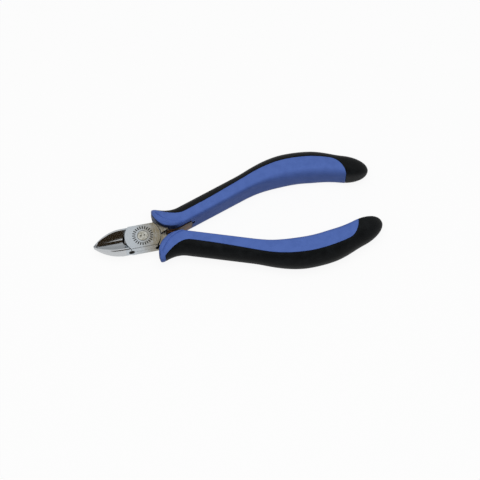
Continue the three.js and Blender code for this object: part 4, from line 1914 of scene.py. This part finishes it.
        heel = own(self.shoulder_skin(*shoulder)).worked(own(self.blank_skin()), Cut.KEEP)
        steel = own(self.jaw_skin()).worked(heel, Cut.JOIN)
        slot = block((0, FAR), (-self.tang_slot / 2, FAR), (-FAR, FAR))
        tang = own(self.tang.skin().flipped()).worked(own(slot), Cut.TAKE)
        steel.worked(tang, Cut.JOIN)
        room = rod(self.seam_radius, -FAR, self.lap_gap / 2, self.seam_segments)
        steel.worked(own(room), Cut.TAKE)
        steel.worked(own(self.plate_skin()), Cut.JOIN)
        steel.worked(own(self.relief_skin()), Cut.TAKE)
        return steel.worked(own(bore), Cut.TAKE)

    def screw_profile(self, fit: float) -> list[Pair]:
        """Countersunk outline of the pivot screw, grown by a fit."""
        head = (self.screw_head + fit, self.half_joint - self.screw_head_edge)
        return [head, (self.screw_shank + fit, self.half_joint - self.screw_head_depth)]

    def running_bore(self) -> Skin:
        """Countersunk hole in the front plate, with a broken edge.

        Returns:
            The skin.
        """
        top, edge = self.half_joint, self.screw_chamfer
        mouth = self.screw_head + self.running_fit
        shank = self.screw_shank + self.running_fit
        profile = [(0, FAR), (mouth + FAR, top + FAR - edge), (mouth + edge, top), (mouth, top - edge)]
        profile += [*self.screw_profile(self.running_fit), (shank, -FAR), (0, -FAR)]
        return lathe(profile)

    def screw(self) -> Solid:
        """Pivot screw with two spanner holes in its flush end and a tapped rear end.

        Returns:
            The solid.
        """
        top, edge = self.half_joint, self.screw_chamfer
        floor = -top + self.clip_bore_depth
        profile = [(0, top), (self.screw_head - edge, top), (self.screw_head, top - edge)]
        profile += [*self.screw_profile(0), (self.screw_shank, -top)]
        profile += [(self.clip_bore, -top), (self.clip_bore, floor), (0, floor)]
        screw = Solid(lathe(profile))
        low, high = top - self.spanner_depth, top + self.tool_proud
        drill = rod(self.spanner_hole, low, high, self.drill_segments)
        for side in (-1, 1):
            screw.worked(Solid(drill.moved(side * self.spanner_offset, 0, 0)), Cut.TAKE)
        return screw

    def build(self, steel: Finish, turned: Finish) -> None:
        """Builds and dresses the levers and the pivot screw.

        Args:
            steel: Finish of the levers.
            turned: Finish of the screw.
        """
        front = self.lever((-self.half_joint, 0), self.running_bore(), False)
        front.worked(Solid(self.tick_skin()), Cut.TAKE)
        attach(front.dressed(steel, "lever_front", "lever_steel"), "front_lever")
        tight_bore = rod(self.screw_shank + self.tight_fit, -FAR, FAR)
        back = self.lever((0, self.half_joint), tight_bore, True)
        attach(back.dressed(steel, "lever_back", "lever_steel"), "back_lever")
        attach(self.screw().dressed(turned, "pivot_screw", "pivot_steel"), "back_lever")


@dataclass(frozen=True)
class LeadCatcher:
    """Brass screw on the reverse side and the spring wire that it holds."""

    head: Head
    shank: float = 1.15
    shank_length: float = 4.0
    flange: float = 3.2
    flange_height: float = 0.5
    flange_chamfer: float = 0.1
    neck: float = 2.25
    rim: float = 2.6
    rim_height: float = 0.9
    rim_chamfer: float = 0.08
    rim_round: float = 0.25
    slot_width: float = 0.7
    slot_depth: float = 0.6
    slot_share: float = 0.7
    fit: float = 0.1
    wire: float = 0.5
    wire_reach: float = 22.5
    wire_sway: float = 0.8
    wire_fit: float = 0.15
    wire_dome: float = 0.6
    bend_lead: float = 1.2
    bend_foot: float = 0.1
    bend_head: float = 0.7
    bend_shares: Pair = (0.2, 0.7)
    plate_lead: float = 1.0
    loop_lead: float = 2.0
    loop_entry: Pair = (-1.25, 0.65)
    loop_entry_share: float = 0.7
    loop_turns: Pair = (math.radians(120), math.radians(-105))
    loop_exit: Pair = (-1.2, -1.02)
    loop_knots: int = 10
    rim_points: int = 6
    wire_steps: int = 12
    wire_points: int = 16
    dome_rows: int = 4

    @property
    def seat(self) -> float:
        """Height of the flange on which the wire lies."""
        return -self.head.half_joint - self.fit - self.flange_height

    @property
    def loop_height(self) -> float:
        """Height of the wire's loop."""
        return self.seat - self.wire_fit - self.wire

    @property
    def rim_low(self) -> float:
        """Height of the rim's side towards the wire."""
        return self.loop_height - self.wire - self.wire_fit

    @property
    def rim_top(self) -> float:
        """Height of the screw's face."""
        return self.rim_low - self.rim_height

    def screw(self) -> Solid:
        """Screw with a flange, a neck for the wire and a cross-slotted rim.

        Returns:
            The solid.
        """
        plate = -self.head.half_joint
        base, tip = plate - self.fit, plate + self.shank_length
        bevel, edge = self.flange_chamfer, self.rim_chamfer
        profile = [(0, tip), (self.shank, tip), (self.shank, base)]
        profile += [(self.flange - bevel, base), (self.flange, base - bevel)]
        profile += [(self.flange, self.seat + bevel), (self.flange - bevel, self.seat)]
        profile += [(self.neck, self.seat), (self.neck, self.rim_low)]
        profile += [(self.rim - edge, self.rim_low), (self.rim, self.rim_low - edge)]
        corner = rounding(self.rim_round, self.rim_points)
        profile += [(self.rim - aside, self.rim_top + up) for aside, up in corner]
        profile.append((0, self.rim_top))
        screw = Solid(lathe(profile))
        depth = (self.rim_top - self.head.tool_proud, self.rim_top + self.slot_depth)
        width = (-self.slot_width / 2, self.slot_width / 2)
        arm = (-self.slot_share * self.rim, self.slot_share * self.rim)
        screw.worked(Solid(block(arm, width, depth)), Cut.TAKE)
        return screw.worked(Solid(block(width, arm, depth)), Cut.TAKE)

    def wire_line(self) -> np.ndarray:
        """Knots of the wire from its tip between the jaws to the open end of its loop.

        Returns:
            Array of points.
        """
        head = self.head
        slope = math.atan2(head.jaw_thickness, head.joint_width)
        valley = -head.edge_land / 2 - (self.wire + self.wire_fit) / math.cos(slope)
        plate = -head.half_joint - self.wire_fit - self.wire
        step = head.seam_radius + head.shoulder_width + self.wire + 2 * self.wire_fit
        loop = self.neck + self.wire_fit + self.wire
        knots = [
            (-self.wire_reach, 0, valley),
            (-lerp(step, self.wire_reach, 0.5), 0, valley),
            (-step - self.bend_lead, 0, valley),
            (-step - self.bend_foot, 0, lerp(valley, plate, self.bend_shares[0])),
            (-step, 0, lerp(valley, plate, self.bend_shares[1])),
            (-step + self.bend_head, 0, plate),
            (-head.plate_radius + self.plate_lead, -self.wire_sway / 3, plate),
            (-self.loop_lead * loop, self.wire_sway, plate),
        ]
        entry_height = lerp(plate, self.loop_height, self.loop_entry_share)
        knots.append((self.loop_entry[0] * loop, self.loop_entry[1] * loop, entry_height))
        for angle in np.linspace(*self.loop_turns, self.loop_knots):
            knots.append((loop * math.cos(angle), loop * math.sin(angle), self.loop_height))
        knots.append((self.loop_exit[0] * loop, self.loop_exit[1] * loop, self.loop_height))
        return np.array(knots, float)

    @staticmethod
    def curve(knots: np.ndarray, steps: int) -> np.ndarray:
        """Centripetal curve through knots.

        Args:
            knots: Points on the curve.
            steps: Points made for each span.

        Returns:
            Points along the curve.
        """
        first, last = 2 * knots[0] - knots[1], 2 * knots[-1] - knots[-2]
        full = np.concatenate((first[None], knots, last[None]))
        points = []
        for k in range(1, len(full) - 2):
            p = full[k - 1:k + 3]
            lengths = np.linalg.norm(np.diff(p, axis=0), axis=1)
            t = np.concatenate(([0.0], np.cumsum(np.sqrt(lengths))))
            for u in before(t[1], t[2], steps):
                a = [lerp(p[j], p[j + 1], (u - t[j]) / (t[j + 1] - t[j])) for j in range(3)]
                b = [lerp(a[j], a[j + 1], (u - t[j]) / (t[j + 2] - t[j])) for j in range(2)]
                points.append(lerp(b[0], b[1], (u - t[1]) / (t[2] - t[1])))
        points.append(knots[-1])
        return np.array(points)

    def wire_skin(self) -> Skin:
        """Round wire along its line, with domed ends.

        Returns:
            The skin.
        """
        line = self.curve(self.wire_line(), self.wire_steps)
        run = tangents(line)
        side = np.cross(run[0], (0.0, 0.0, 1.0))
        side = side / np.linalg.norm(side)
        turn = directions(self.wire_points)[:, None]
        rings = []
        for k, point in enumerate(line):
            side = side - run[k] * np.dot(side, run[k])
            side = side / np.linalg.norm(side)
            up = np.cross(run[k], side)
            ring = side * np.cos(turn) + up * np.sin(turn)
            ends = []
            if k in (0, len(line) - 1):
                reach = self.wire * self.wire_dome * (-1 if k == 0 else 1)
                for angle in after(0, math.pi / 2, self.dome_rows):
                    tip = point + run[k] * reach * math.sin(angle)
                    ends.append(tip + self.wire * math.cos(angle) * ring)
            body = point + self.wire * ring
            rings += [*ends[::-1], body] if k == 0 else [body, *ends]
        return loft(np.array(rings))

    def build(self, brass: Finish, bright: Finish) -> None:
        """Builds and dresses the screw and the wire.

        Args:
            brass: Finish of the screw.
            bright: Finish of the wire.
        """
        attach(self.screw().dressed(brass, "clip_screw", "clip_brass"), "back_lever")
        wire = Solid(self.wire_skin())
        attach(wire.dressed(bright, "lead_catcher", "spring_wire"), "back_lever")


# Studio

@dataclass(frozen=True)
class FloorPaint(Finish):
    """Pale paint that shows as nearly white and keeps a faint shadow."""

    name: str = "floor_paint"
    colour: Colour = (0.9, 0.9, 0.9, 1.0)
    white_share: float = 0.9

    def paint(self, board: Board) -> None:
        """Draws the shader.

        Args:
            board: Empty board of the material.
        """
        matt = board.node("ShaderNodeBsdfDiffuse", {}, {"Color": self.colour})
        share = self.white_share * board.background_rays()
        values = {0: share, 1: matt, 2: board.glow(WHITE)}
        board.surface(board.node("ShaderNodeMixShader", {}, values))


@dataclass(frozen=True)
class Card(Finish):
    """Card beside the object that only metal mirrors."""

    name: str
    direction: Triple
    distance: float
    width: float
    height: float
    colour: Colour

    def corners(self) -> list[Vector]:
        """Corners of the card, which faces the pivot.

        Returns:
            Points in the frame.
        """
        ahead = Vector(self.direction).normalized()
        across = Vector((0, 0, 1)).cross(ahead).normalized()
        up = ahead.cross(across)
        corners = []
        for a, b in ((-1, -1), (1, -1), (1, 1), (-1, 1)):
            aside = across * (a * self.width / 2) + up * (b * self.height / 2)
            corners.append(in_frame(self.distance * ahead + aside))
        return corners

    def paint(self, board: Board) -> None:
        """Draws the shader."""
        board.surface(board.glow(self.colour))


@dataclass(frozen=True)
class Studio:
    """Camera at the photo's angle, pale floor, soft light and two cards that steel mirrors."""

    camera_at: Triple = (-22.2, -354.0, 718.75)
    look_at: Triple = (48.32, -10.505, -0.281)
    lens: float = 117.6
    sensor: float = 36.0
    nearest: float = 0.01
    floor_size: float = 6.0
    sky: float = 0.30
    lamp_at: Triple = (30.0, -130.0, 790.0)
    lamp_size: float = 0.7
    lamp_power: float = 4.6
    front_card: Card = Card(
        name="front_card",
        direction=(0.09, -0.66, 0.75),
        distance=420.0,
        width=700.0,
        height=330.0,
        colour=(0.04, 0.026, 0.014, 1.0),
    )
    rear_card: Card = Card(
        name="rear_card",
        direction=(0.09, 0.996, 0.02),
        distance=600.0,
        width=1200.0,
        height=240.0,
        colour=(0.20, 0.23, 0.26, 1.0),
    )

    def aim(self, piece: bpy.types.Object, place: Triple) -> None:
        """Puts a camera or a light at a place and turns it to the object.

        Args:
            piece: The camera or light.
            place: Its place about the pivot, in millimetres.
        """
        piece.location = in_frame(place)
        way = in_frame(self.look_at) - piece.location
        piece.rotation_euler = way.to_track_quat("-Z", "Y").to_euler()

    def camera(self) -> None:
        """Places the camera."""
        lens = bpy.data.cameras.new("camera")
        lens.lens = self.lens
        lens.sensor_width = self.sensor
        lens.clip_start = self.nearest
        eye = new_object("camera", lens)
        self.aim(eye, self.camera_at)
        bpy.context.scene.camera = eye

    def world(self) -> None:
        """White background that lights the object at a lower level."""
        world = bpy.data.worlds.new("studio")
        bpy.context.scene.world = world
        world.use_nodes = True
        board = Board(world.node_tree)
        strength = self.sky + (1.0 - self.sky) * board.background_rays()
        glow = board.node("ShaderNodeBackground", {}, {"Color": WHITE, "Strength": strength})
        board.node("ShaderNodeOutputWorld", {}, {"Surface": glow})

    def sheet(self, name: str, corners: Sequence[Sequence[float]], finish: Finish) -> bpy.types.Object:
        """Flat stage piece that sends no light to matt surfaces.

        Args:
            name: Name of the piece.
            corners: Its four corners in the frame.
            finish: Finish of its surface.

        Returns:
            The piece.
        """
        mesh = bpy.data.meshes.new(name)
        mesh.from_pydata([tuple(corner) for corner in corners], [], [(0, 1, 2, 3)])
        mesh.materials.append(finish.material())
        piece = new_object(name, mesh)
        piece.visible_diffuse = False
        return piece

    def floor(self) -> None:
        """Lays the floor under the lowest point of the CAD model."""
        half, level = self.floor_size / 2, CAD_BOX[0].z
        corners = [(-half, -half, level), (half, -half, level), (half, half, level), (-half, half, level)]
        self.sheet("floor", corners, FloorPaint())

    def card(self, card: Card) -> None:
        """Sets up a card.

        Args:
            card: The card.
        """
        piece = self.sheet(card.name, card.corners(), card)
        piece.visible_camera = False
        piece.visible_shadow = False

    def lamp(self) -> None:
        """Hangs a large soft light above and a little in front of the object."""
        light = bpy.data.lights.new("softbox", "AREA")
        light.shape = "SQUARE"
        light.size = self.lamp_size
        light.energy = self.lamp_power
        piece = new_object("softbox", light)
        piece.visible_glossy = False
        self.aim(piece, self.lamp_at)

    def build(self) -> None:
        """Sets up the whole studio."""
        self.camera()
        self.world()
        self.floor()
        self.card(self.front_card)
        self.card(self.rear_card)
        self.lamp()
        bpy.context.scene.view_settings.view_transform = "Standard"
        log.info("studio is set")


def main() -> None:
    """Builds the pliers and the studio."""
    logging.basicConfig(level=logging.INFO, format="%(name)s: %(message)s")
    head = Head()
    head.build(GroundSteel(head), TurnedSteel())
    LeadCatcher(head).build(Brass(), DrawnWire())
    for side in Side:
        handle = Handle(side)
        handle.build(HardPlastic(grip=handle), SoftRubber(), BluedSteel())
    Studio().build()


if __name__ == "__main__":
    main()
